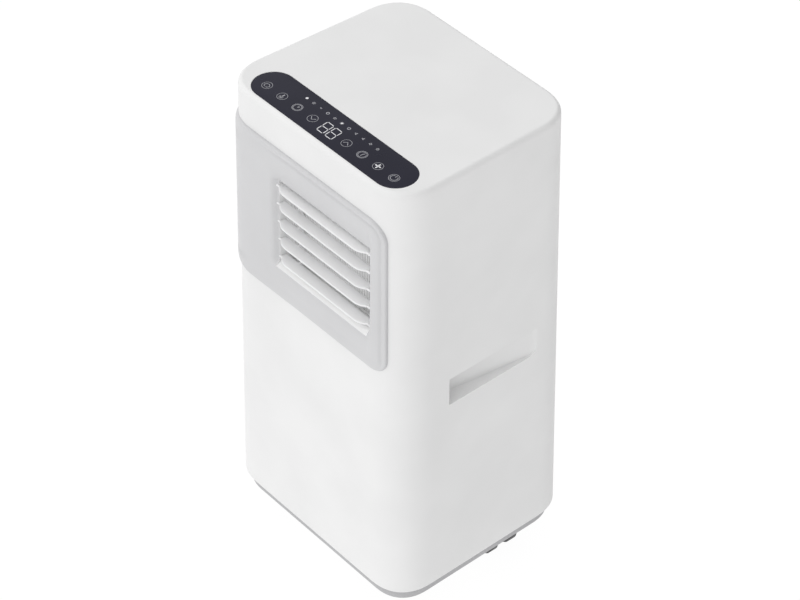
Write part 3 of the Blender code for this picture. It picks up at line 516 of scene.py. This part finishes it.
# The sill's lip and the crease under it: their ends, and how far the lip's crest is below the sill.
LIP_LEFT, LIP_RIGHT, LIP_DROP = -0.0660, 0.1085, 0.0008
LIP_HEIGHT, LIP_HALF_WIDTH = 0.0013, 0.0011
CREASE_DEPTH, CREASE_FADE = 0.0028, 0.0140
SHARP_EDGE, SOFT_EDGE = 0.0018, 0.0140
# Along the sleeve: the share of its depth, then how far its floor and roof are raised there.
SLEEVE_STEPS = (
    (0.06, 0.0010, 0.0010),
    (0.14, 0.0028, 0.0035),
    (0.20, 0.0040, 0.0047),
    (0.28, 0.0048, 0.0047),
    (0.33, 0.0048, 0.0047),
    (0.38, -0.0014, 0.0047),
    (0.60, -0.0014, 0.0047),
    (1.0, -0.0014, 0.0047),
)


def build_wrap():
    """The outline low, high and midway, from the right front corner to the left side, with lengths."""
    order = [(0, 1 - k / CORNER_STEPS) for k in range(CORNER_STEPS + 1)]
    order += [("front", 1 - 2 * k / FRONT_STEPS) for k in range(1, FRONT_STEPS + 1)]
    order += [(3, 1 - k / FAR_CORNER_STEPS) for k in range(1, FAR_CORNER_STEPS + 1)]
    order += [("left", 1 - 2 * k / SIDE_STEPS) for k in range(1, SIDE_STEPS + 1)]
    front_end = CORNER_STEPS + 1 + FRONT_STEPS
    low = np.array([outline_point(station, BEZEL_BOTTOM) for station in order])
    high = np.array([outline_point(station, BEZEL_TOP) for station in order])
    mid = np.array([outline_point(station, BEZEL_MIDDLE) for station in order])
    lengths = np.concatenate([[0], np.cumsum(np.linalg.norm(np.diff(mid, axis=0), axis=1))])
    start = np.interp(0.0, -mid[:front_end, 0], lengths[:front_end])
    return low, high, mid, start - lengths


WRAP_LOW, WRAP_HIGH, WRAP_MID, WRAP_S = build_wrap()


def wrapped(s, z, height):
    """The point at s along the outline and z up, raised off the body's surface by height."""
    t = (z - BEZEL_BOTTOM) / (BEZEL_TOP - BEZEL_BOTTOM)
    span = 0.0015
    points = []
    for place_s in (s, s - span, s + span):
        low = [np.interp(-place_s, -WRAP_S, WRAP_LOW[:, k]) for k in (0, 1)]
        high = [np.interp(-place_s, -WRAP_S, WRAP_HIGH[:, k]) for k in (0, 1)]
        points.append([low[k] + (high[k] - low[k]) * t for k in (0, 1)])
    along = Vector(points[2]) - Vector(points[1])
    along.normalize()
    return (points[0][0] + along.y * height, points[0][1] - along.x * height, z)


def s_of_x(x, z):
    """On the flat front: the outline length whose point is at x."""
    flat_middle = between(FRONT_HALF, BEZEL_MIDDLE) - CORNER_EXTENT
    return x * flat_middle / (between(FRONT_HALF, z) - CORNER_EXTENT)


CORNER_X, CORNER_S = WRAP_MID[: CORNER_STEPS + 1, 0], WRAP_S[: CORNER_STEPS + 1]
SIDE_Y, SIDE_S = WRAP_MID[-SIDE_STEPS - 1 :, 1], WRAP_S[-SIDE_STEPS - 1 :]
S_RIGHT = float(np.interp(-BEZEL_RIGHT, -CORNER_X, CORNER_S)) - RIGHT_TRIM
S_LEFT = float(np.interp(BEZEL_SIDE_END, SIDE_Y, SIDE_S))


def from_top_right(s, z):
    """How far inside the right and top edges a point is, round the top right corner."""
    radius = BEZEL_CORNERS[2]
    right, top = S_RIGHT - s, BEZEL_TOP - z
    if right < radius and top < radius:
        return radius - math.hypot(radius - right, radius - top)
    return min(right, top)


def proud(s):
    """The surround stands less proud at its right end than round the left corner."""
    return PROUD - END_SETBACK * ramp(s, -0.120, 0.120)


def plate(s, z):
    """Height of the surround's face, without its outer edge."""
    height = proud(s)
    inside = from_top_right(s, z)
    x = s / s_of_x(1.0, z)
    along = ramp(s, -0.110, 0.070) * ramp(z, BEZEL_BOTTOM + 0.004, 0.012)
    groove = ramp(inside, GROOVE_START, 0.0019)
    rise = ramp(inside, GROOVE_END, 0.0040)
    height -= along * (GROOVE_DEPTH * groove - GROOVE_RISE * rise)
    height += along * BEAD_HEIGHT * smooth((BEAD_END - inside) / 0.0060)
    height = max(height, 0.0003)
    left, right, top = OPENING[0] - 0.0085, OPENING[1] + 0.0060, DISH[3]
    lip_span = ramp(x, LIP_LEFT, 0.050) * (1 - ramp(x, LIP_RIGHT, 0.0060))
    lip = max(0.0, 1 - ((z - OPENING[2] + LIP_DROP) / LIP_HALF_WIDTH) ** 2)
    height += LIP_HEIGHT * lip_span * lip
    if z > OPENING[2] - 0.0010:
        fall = min(max((top - z) / (top - OPENING[3]), 0.0), 1.0)
        side = ramp(x, left, 0.0080 + 0.060 * (1 - fall)) * smooth((right - x) / 0.0060)
        fall = 0.35 * smooth(fall) + 0.65 * fall**1.5
        rest = ramp(z, OPENING[2] + 0.0005, 0.010)
        height -= side * fall * rest * (height + DISH_DEPTH)
    elif z < OPENING[2] - 0.0016:
        below = OPENING[2] - 0.0016 - z
        crease = math.exp(-below / CREASE_FADE) * smooth(below / 0.0005)
        crease *= ramp(z, BEZEL_BOTTOM + 0.008, 0.010)
        height -= CREASE_DEPTH * crease * lip_span
    return height


def edge_drop(s, distance):
    """How far the face falls away near its outer edge, which is soft round the left corner."""
    soft = SHARP_EDGE + (SOFT_EDGE - SHARP_EDGE) * (1 - ramp(s, -0.165, 0.050))
    t = min(distance / soft, 1.0)
    return (proud(s) - 0.0002) * (1 - math.sqrt(max(0.0, 1 - (1 - t) ** 2)))


def make_bezel():
    sides = (150, 60, 150, 60)
    steps = 10

    def loop(shrink, radii):
        left, right = S_LEFT + shrink, S_RIGHT - shrink
        bottom, top = BEZEL_BOTTOM + shrink, BEZEL_TOP - shrink
        return rounded_outline(left, right, bottom, top, radii, steps, sides)

    rings = []
    shrinks = (0.0, 0.0002, 0.0005, 0.0010, 0.0018, 0.0030, 0.0045, 0.0060, 0.0068, 0.0073)
    shrinks += (0.0078, 0.0083, 0.0088, 0.0093, 0.0099, 0.0106, 0.0114, 0.0124, 0.0138, 0.0155)
    for shrink in shrinks:
        radii = [max(radius - shrink, 0.004) for radius in BEZEL_CORNERS]
        ring = []
        for s, z in loop(shrink, radii):
            ring.append((s, z, plate(s, z) - edge_drop(s, shrink)))
        rings.append(ring)
    foot = [(s, z, -0.0006) for s, z, _ in rings[0]]
    inner = []
    left, right, bottom, top = OPENING
    grows = (0.0, 0.0004, 0.0010, 0.0016, 0.0018, 0.0021, 0.0028, 0.0040, 0.0058)
    for grow in grows + (0.0085, 0.0110, 0.0125):
        edges = (left - grow, right + grow, bottom - grow, top + grow)
        outline = rounded_outline(*edges, [0.0012 + grow] * 4, steps, sides)
        inner.append([(s_of_x(x, z), z) for x, z in outline])
    last, first = rings[-1], inner[-1]
    bridge = []
    count = 22
    for k in range(1, count):
        t = k / count
        pairs = zip(last, first)
        bridge.append([(a[0] + (b[0] - a[0]) * t, a[1] + (b[1] - a[1]) * t) for a, b in pairs])
    surface = [foot] + rings
    for ring in bridge + inner[::-1]:
        points = []
        for s, z in ring:
            outer_distance = min(s - S_LEFT, S_RIGHT - s, z - BEZEL_BOTTOM, BEZEL_TOP - z)
            points.append((s, z, plate(s, z) - edge_drop(s, outer_distance)))
        surface.append(points)
    shapes = [[wrapped(*point) for point in ring] for ring in surface]
    edge = shapes[-1]
    face_count = len(shapes)
    for back, sill, roof in SLEEVE_STEPS:
        ring = []
        for x, y, z in edge:
            lift = sill * (1 - ramp(z, OPENING[2], 0.0030))
            lift += roof * ramp(z, OPENING[3] - 0.003, 0.003)
            ring.append((x, y + (SLEEVE_BACK - y) * back, z + lift))
        shapes.append(ring)
    bm = bmesh.new()
    loft(bm, shapes[:face_count], caps=False)
    place(from_bmesh("outlet_surround", bm, 50), OUTLET, "outlet_grey", ["outlet_bezel"])
    bm = bmesh.new()
    loft(bm, shapes[face_count - 1 :], caps=False)
    # The sleeve is the same moulding as the surround but takes the whiter material: painted light
    # inside the opening.
    place(from_bmesh("outlet_sleeve", bm, 50), OUTLET_INSIDE_PAINTED_LIGHT, "outlet_grey")
    # The strip below is painted shade: a darker grey ring laid round the surround's foot to stand for
    # the shadow in the seam, not a seal.
    gap_shade_strip = bmesh.new()
    rings = []
    strip = ((0.0004, 0.0009), (-0.0002, 0.0010), (-0.0009, 0.0006), (-0.0010, -0.0004))
    for offset, height in strip:
        radii = [radius - offset for radius in BEZEL_CORNERS]
        rings.append([wrapped(s, z, height * 0.35) for s, z in loop(offset, radii)])
    loft(gap_shade_strip, rings, caps=False)
    place(from_bmesh("outlet_gap_shade_strip", gap_shade_strip), GAP_SHADE_GREY, "outlet_grey")


# Louvers.


def blade_half_chord(x):
    radius = BLADE_CHORD / 2 / (1 - math.cos(BLADE_SWEEP))
    reach = radius * math.sin(BLADE_SWEEP)
    near = min(x - BLADE_LEFT, BLADE_RIGHT - x)
    if near >= reach:
        return BLADE_CHORD / 2
    return max(math.sqrt(radius**2 - (reach - near) ** 2) - radius * math.cos(BLADE_SWEEP), 0.0)


def make_blade(index):
    z = BLADE_TOP_Z - index * BLADE_PITCH
    stations = 72
    rings = []
    for k in range(stations + 1):
        t = 0.5 - 0.5 * math.cos(math.pi * k / stations)
        x = BLADE_LEFT + (BLADE_RIGHT - BLADE_LEFT) * t
        half = max(blade_half_chord(x), 0.0004)
        thick = BLADE_THICKNESS / 2
        ring = []
        for m in range(24):
            angle = math.tau * m / 24
            c, s = math.cos(angle), math.sin(angle)
            y = abs(c) ** 0.35 * BLADE_CHORD / 2 if c > 0 else -(abs(c) ** 0.35) * half
            dz = math.copysign(abs(s) ** 0.8, s) * thick
            ring.append((x, BLADE_AXIS_Y + y, z + dz))
        rings.append(ring)
    bm = bmesh.new()
    loft(bm, rings)
    for start, end in ((-0.0780, BLADE_LEFT + 0.004), (BLADE_RIGHT - 0.004, 0.1145)):
        profile = [(start, 0.0013), (start + 0.0002, 0.0015)]
        profile += [(end - 0.0002, 0.0015), (end, 0.0013)]
        turned(bm, profile, (0, BLADE_AXIS_Y, z), (1, 0, 0), 20)
    arm_y = BLADE_AXIS_Y + LINK_REACH
    outline = []
    for k in range(13):
        angle = math.radians(-90 + 180 * k / 12)
        outline.append((arm_y + 0.0022 * math.cos(angle), z + 0.0022 * math.sin(angle)))
    outline += [(BLADE_AXIS_Y + 0.004, z + 0.0012), (BLADE_AXIS_Y + 0.004, z - 0.0012)]
    loft(bm, [[(LINK_X + dx, u, v) for u, v in outline] for dx in (0.0, 0.0025)])
    pin = [(-0.0045, 0.0010), (-0.0043, 0.0012), (0.001, 0.0012)]
    turned(bm, pin, (LINK_X, arm_y, z), (1, 0, 0), 20)
    name = f"louver_{index + 1}"
    # The blades take the lightened grey: painted light on their tops.
    place(from_bmesh(f"louver_blade_{index + 1}", bm, 50), LOUVER_PAINTED_LIGHT, "outlet_grey", [name], name)


# Control symbols.


class Strokes:
    """Flat marks that lie on the control face."""

    def __init__(self, level):
        self.bm = bmesh.new()
        self.level = level

    def line(self, points, width):
        points = [Vector(p) for p in points]
        pairs = []
        for i, point in enumerate(points):
            before = points[max(i - 1, 0)]
            after = points[min(i + 1, len(points) - 1)]
            along = (after - before).normalized()
            side = Vector((-along.y, along.x)) * width / 2
            pairs.append((point + side, point - side))
        made = [[self.bm.verts.new((*p, self.level)) for p in pair] for pair in pairs]
        for a, b in zip(made, made[1:]):
            self.bm.faces.new((a[0], a[1], b[1], b[0]))

    def arc(self, centre, radius, width, start=0, end=360, steps=36):
        angles = [math.radians(start + (end - start) * k / steps) for k in range(steps + 1)]
        x, y = centre
        self.line([(x + radius * math.cos(a), y + radius * math.sin(a)) for a in angles], width)

    def disc(self, centre, radius):
        x, y = centre
        sides = 20
        ring = []
        for k in range(sides):
            angle = math.tau * k / sides
            point = (x + radius * math.cos(angle), y + radius * math.sin(angle), self.level)
            ring.append(self.bm.verts.new(point))
        self.bm.faces.new(ring)

    def done(self, name, material):
        obj = from_bmesh(name, self.bm)
        place(obj, material, "control_black")


KEY_Y, LAMP_Y = -0.1126, -0.0922
KEY_LEVEL, DIGIT_LEVEL = 0.69988, 0.69990
LAMP_COUNT, LAMP_LEFT, LAMP_PITCH = 11, -0.0630, 0.01323
KEY_RADIUS = 0.0067


def make_symbols():
    keys = Strokes(KEY_LEVEL)
    thin = 0.00055
    keys_x = (-0.1144, -0.0851, -0.0560, -0.0270, 0.0366, 0.0655, 0.0945, 0.1236)
    for x in keys_x:
        keys.arc((x, KEY_Y), KEY_RADIUS, thin)

    def at(x, *points):
        return [(x + u * MM, KEY_Y + v * MM) for u, v in points]

    x = keys_x[0]
    keys.line(at(x, (-4.6, -0.6), (-2.4, 2.2), (0.0, 3.4), (2.4, 2.2), (4.6, -0.6)), 0.0008)
    keys.line(at(x, (-3.4, -0.6), (-3.0, -2.8), (-0.8, -3.2)), 0.0008)
    keys.line(at(x, (3.4, -0.6), (3.0, -2.8), (0.8, -3.2)), 0.0008)
    x = keys_x[1]
    keys.disc((x, KEY_Y - 1.8 * MM), 1.6 * MM)
    keys.line(at(x, (0, -1.8), (0, 4.2)), 0.0017)
    keys.arc((x, KEY_Y - 1.8 * MM), 2.7 * MM, thin, 140, 400, 20)
    x = keys_x[2]
    keys.arc((x, KEY_Y), 5.4 * MM, 0.0007)
    keys.line(at(x, (0, 3.4), (0, 0), (2.6, 1.5)), 0.0009)
    keys.line(at(keys_x[3], (-4.2, 2.0), (0, -2.2), (4.2, 2.0)), 0.0009)
    keys.line(at(keys_x[4], (-4.2, -2.0), (0, 2.2), (4.2, -2.0)), 0.0009)
    x = keys_x[5]
    keys.arc((x, KEY_Y), 5.2 * MM, 0.0007, 60, 400, 30)
    keys.line(at(x, (0, -3.0), (0, 0.6), (1.2, 3.4)), 0.0010)
    keys.done("key_symbols", SYMBOL)
    bright = Strokes(DIGIT_LEVEL)
    x = keys_x[6]
    for turn in (0, 90, 180, 270):
        a = math.radians(turn)
        c, s = math.cos(a), math.sin(a)
        bend = (2.4 * c - 0.5 * s, 2.4 * s + 0.5 * c)
        bright.line(at(x, (0.6 * c, 0.6 * s), bend, (4.4 * c, 4.4 * s)), 0.0018)
    bright.disc((x, KEY_Y), 1.0 * MM)
    x = keys_x[7]
    keys = Strokes(KEY_LEVEL)
    keys.arc((x, KEY_Y), 4.6 * MM, 0.0008, 120, 420, 30)
    keys.line(at(x, (0, 1.4), (0, 5.4)), 0.0008)
    for k in range(LAMP_COUNT):
        x = LAMP_LEFT + LAMP_PITCH * k
        y = LAMP_Y
        if k == 0:
            bright.disc((x, y), 1.9 * MM)
        elif k in (1, 4, 10):
            keys.arc((x, y), 1.3 * MM, 0.0009, steps=16)
            for turn in range(0, 360, 60):
                a = math.radians(turn)
                ends = [
                    (x + reach * MM * math.cos(a), y + reach * MM * math.sin(a))
                    for reach in (1.3, 2.4)
                ]
                keys.line(ends, 0.0009)
        elif k == 2:
            for radius in (0.8, 1.9):
                keys.arc((x, y - 1.0 * MM), radius * MM, 0.0008, 35, 145, 10)
        elif k in (3, 6):
            keys.arc((x, y), 1.9 * MM, 0.0010, steps=16)
        elif k == 5:
            bright.disc((x, y), 1.5 * MM)
            keys.arc((x, y), 2.2 * MM, 0.0005, 0, 270, 16)
        else:
            for turn in (90, 210, 330) if k < 9 else (0, 90, 180, 270):
                a = math.radians(turn + 12 * k)
                tip = (x + 2.1 * MM * math.cos(a), y + 2.1 * MM * math.sin(a))
                keys.line([(x, y), tip], 0.0014)
    keys.done("lamp_symbols", SYMBOL)
    for left in (-9.9, 5.5):
        width, top, bottom, slant = 11.6, -103.0, -122.3, 2.0
        middle = (top + bottom) / 2

        def corner(u, v):
            return ((left + u * width + slant * (top - v) / (top - bottom)) * MM, v * MM)

        gap = 0.9
        for u in (0, 1):
            bright.line([corner(u, top - gap), corner(u, middle + gap)], 0.0011)
            bright.line([corner(u, middle - gap), corner(u, bottom + gap)], 0.0011)
        for v in (top, middle, bottom):
            bright.line([corner(0.08, v), corner(0.92, v)], 0.0011)
    bright.done("display_digits", DIGIT)


# Casters.

CASTERS = {
    "front_right": (0.113, -0.085, -1),
    "front_left": (-0.113, -0.085, 1),
    "rear_right": (0.113, 0.058, 1),
    "rear_left": (-0.113, 0.058, -1),
}


def make_casters():
    for name, (x, y, way) in CASTERS.items():
        axle = (x + way * 0.014, y, 0.018)
        bm = bmesh.new()
        for side in (-1, 1):
            profile = [
                (0.0080, 0.0),
                (0.0080, 0.0150),
                (0.0084, 0.0170),
                (0.0100, 0.0180),
                (0.0230, 0.0180),
                (0.0243, 0.0172),
                (0.0249, 0.0155),
                (0.0249, 0.0140),
                (0.0236, 0.0132),
                (0.0232, 0.0070),
                (0.0247, 0.0058),
                (0.0247, 0.0022),
                (0.0240, 0.0),
            ]
            turned(bm, profile, axle, (0, side, 0), 48)
        turned(bm, [(-0.0090, 0.0030), (0.0090, 0.0030)], axle, (0, 1, 0), 20)
        wheel = f"wheel_{name}"
        place(from_bmesh(f"{wheel}_twin", bm, 40), CASTER, "caster_black", [wheel], wheel)


# Coils.


COIL_FEET = {"evaporator_coil": 0.4330, "condenser_coil": 0.0990}
COIL_FINS, COIL_ROWS = 92, 8


def make_coil(node):
    """A pack of thin fins on two rows of tubes, between end plates."""
    low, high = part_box(node)
    bottom = COIL_FEET[node]
    bm = bmesh.new()
    for k in range(COIL_FINS + 1):
        x = low.x + 0.006 + (high.x - low.x - 0.012) * k / COIL_FINS
        corner = (x - 0.00012, low.y + 0.002, bottom + 0.002)
        box_mesh(bm, corner, (x + 0.00012, high.y - 0.002, high.z - 0.002))
    for start in (low.x, high.x - 0.0016):
        box_mesh(bm, (start, low.y, low.z), (start + 0.0016, high.y, high.z))
    place(from_bmesh(f"{node}_fins", bm), FIN, "coil_aluminium", [node])
    bm = bmesh.new()
    for row in range(COIL_ROWS):
        z = bottom + 0.014 + (high.z - bottom - 0.028) * row / (COIL_ROWS - 1)
        for y in (low.y + 0.009, high.y - 0.009):
            tube = [(0.0, 0.0035), (high.x - low.x - 0.004, 0.0035)]
            turned(bm, tube, (low.x + 0.002, y, z), (1, 0, 0), 14)
    place(from_bmesh(f"{node}_tubes", bm), COPPER, "pipe_copper")


def make_carried():
    """CAD nodes that keep their shape, with softened edges and their own finish."""
    finishes = {
        "rear_cover": (WHITE, 0.0004),
        "upper_grille": (WHITE, 0.0006),
        "lower_grille": (WHITE, 0.0006),
        "exhaust_collar": (WHITE, 0.0010),
        "air_filter": (INNER, 0.0003),
        "louver_link": (LOUVER_PAINTED_LIGHT, 0.0003),
        "louver_motor": (INNER, 0.0005),
        "outlet_duct": (DUCT, 0.0004),
        "light_guide": (GUIDE, 0.0003),
        "display_board": (BOARD, 0.0002),
        "control_board": (BOARD, 0.0002),
        "electrical_box": (INNER, 0.0006),
        "run_capacitor": (CAN, 0.0012),
        "drain_tray": (INNER, 0.0008),
        "exhaust_duct": (INNER, 0.0008),
        "evaporator_scroll": (DUCT, 0.0006),
        "condenser_scroll": (INNER, 0.0006),
        "evaporator_blower": (INNER, 0.0003),
        "condenser_blower": (INNER, 0.0003),
        "splash_wheel": (INNER, 0.0003),
        "evaporator_motor": (STEEL, 0.0020),
        "condenser_motor": (STEEL, 0.0020),
        "splash_motor": (STEEL, 0.0010),
        "compressor": (ENAMEL, 0.0010),
        "suction_accumulator": (ENAMEL, 0.0040),
        "discharge_pipe": (COPPER, 0.0),
        "suction_pipe": (COPPER, 0.0),
        "liquid_pipe": (COPPER, 0.0),
        "upper_drain_plug": (RUBBER, 0.0008),
        "lower_drain_plug": (RUBBER, 0.0008),
        "cord_gland": (RUBBER, 0.0008),
        # The guard's white is painted light as well, lifting the shade behind the blades.
        "outlet_guard": (OUTLET_INSIDE_PAINTED_LIGHT, 0.0),
    }
    for index in (1, 2, 3):
        finishes[f"compressor_mount_{index}"] = (RUBBER, 0.0010)
    for name in CASTERS:
        finishes[f"caster_{name}"] = (CASTER, 0.0010)
    for node, (material, width) in finishes.items():
        obj = NODES[node]
        obj.data.materials.clear()
        obj.data.materials.append(material)
        obj.data.polygons.foreach_set("use_smooth", [True] * len(obj.data.polygons))
        weld = obj.modifiers.new("weld", "WELD")
        weld.merge_threshold = 0.00002
        if width:
            bevelled(obj, width)
        else:
            split = obj.modifiers.new("split", "EDGE_SPLIT")
            split.split_angle = math.radians(40)


make_shell()
make_top()
make_base()
make_bezel()
for number in range(BLADE_COUNT):
    make_blade(number)
make_symbols()
make_casters()
for coil in COIL_FEET:
    make_coil(coil)
make_carried()


# Stage: pale floor, soft light from all round, camera above the right front corner.

FLOOR_REACH, FLOOR_GLOW = 30.0, 0.97
FLOOR_COLOUR = (0.05, 0.05, 0.05, 1)
SKY_HORIZON, SKY_RISE, SKY_LEAST = 0.79, 0.54, 0.05
SKY_SHADE = (0.56, 1.00, 0.0)
CAMERA_AZIMUTH, CAMERA_ELEVATION = math.radians(49.9328), math.radians(40.0929)
CAMERA_TARGET = Vector((0, 0, 0.370))
CAMERA_DISTANCE, CAMERA_RIGHT, CAMERA_UP = 3.7652, 0.00015, 0.00344
CAMERA_LENS, CAMERA_SENSOR = 133.18, 36.0


def make_floor():
    bm = bmesh.new()
    bmesh.ops.create_grid(bm, x_segments=2, y_segments=2, size=FLOOR_REACH)
    floor = from_bmesh("floor", bm)
    made, _, _, shader = new_material("floor_white")
    shader.inputs["Base Color"].default_value = FLOOR_COLOUR
    shader.inputs["Roughness"].default_value = 1.0
    shader.inputs["Specular IOR Level"].default_value = 0.0
    shader.inputs["Emission Color"].default_value = (1, 1, 1, 1)
    shader.inputs["Emission Strength"].default_value = FLOOR_GLOW
    floor.data.materials.append(made)


def make_world():
    """An overcast sky, darker behind the right rear corner."""
    world = bpy.data.worlds.new("studio")
    bpy.context.scene.world = world
    world.use_nodes = True
    nodes, links = world.node_tree.nodes, world.node_tree.links
    background = nodes["Background"]
    background.inputs["Color"].default_value = (1, 1, 1, 1)
    direction = nodes.new("ShaderNodeTexCoord").outputs["Generated"]

    def facing(vector):
        dot = nodes.new("ShaderNodeVectorMath")
        dot.operation = "DOT_PRODUCT"
        dot.inputs[1].default_value = vector
        links.new(direction, dot.inputs[0])
        return dot.outputs["Value"]

    def combined(operation, first, second):
        node = nodes.new("ShaderNodeMath")
        node.operation = operation
        for socket, value in zip(node.inputs, (first, second)):
            if isinstance(value, float):
                socket.default_value = value
            else:
                links.new(value, socket)
        return node.outputs["Value"]

    shadow = combined("MAXIMUM", facing(SKY_SHADE), 0.0)
    sky = combined("ADD", facing((0.0, 0.0, SKY_RISE)), SKY_HORIZON)
    strength = combined("MAXIMUM", combined("SUBTRACT", sky, shadow), SKY_LEAST)
    links.new(strength, background.inputs["Strength"])


def make_camera():
    flat = math.cos(CAMERA_ELEVATION)
    across, ahead = math.cos(CAMERA_AZIMUTH), math.sin(CAMERA_AZIMUTH)
    back = Vector((ahead * flat, -across * flat, math.sin(CAMERA_ELEVATION)))
    right = Vector((across, ahead, 0))
    up = back.cross(right)
    data = bpy.data.cameras.new("camera")
    data.sensor_width = CAMERA_SENSOR
    data.lens = CAMERA_LENS
    data.clip_start, data.clip_end = 0.1, 100.0
    camera = bpy.data.objects.new("camera", data)
    camera.matrix_world = Matrix((right, up, back)).transposed().to_4x4()
    location = CAMERA_TARGET + back * CAMERA_DISTANCE
    camera.location = location + right * CAMERA_RIGHT + up * CAMERA_UP
    bpy.context.scene.collection.objects.link(camera)
    bpy.context.scene.camera = camera


make_floor()
make_world()
make_camera()
bpy.context.scene.view_settings.view_transform = "Standard"

bpy.context.view_layer.update()
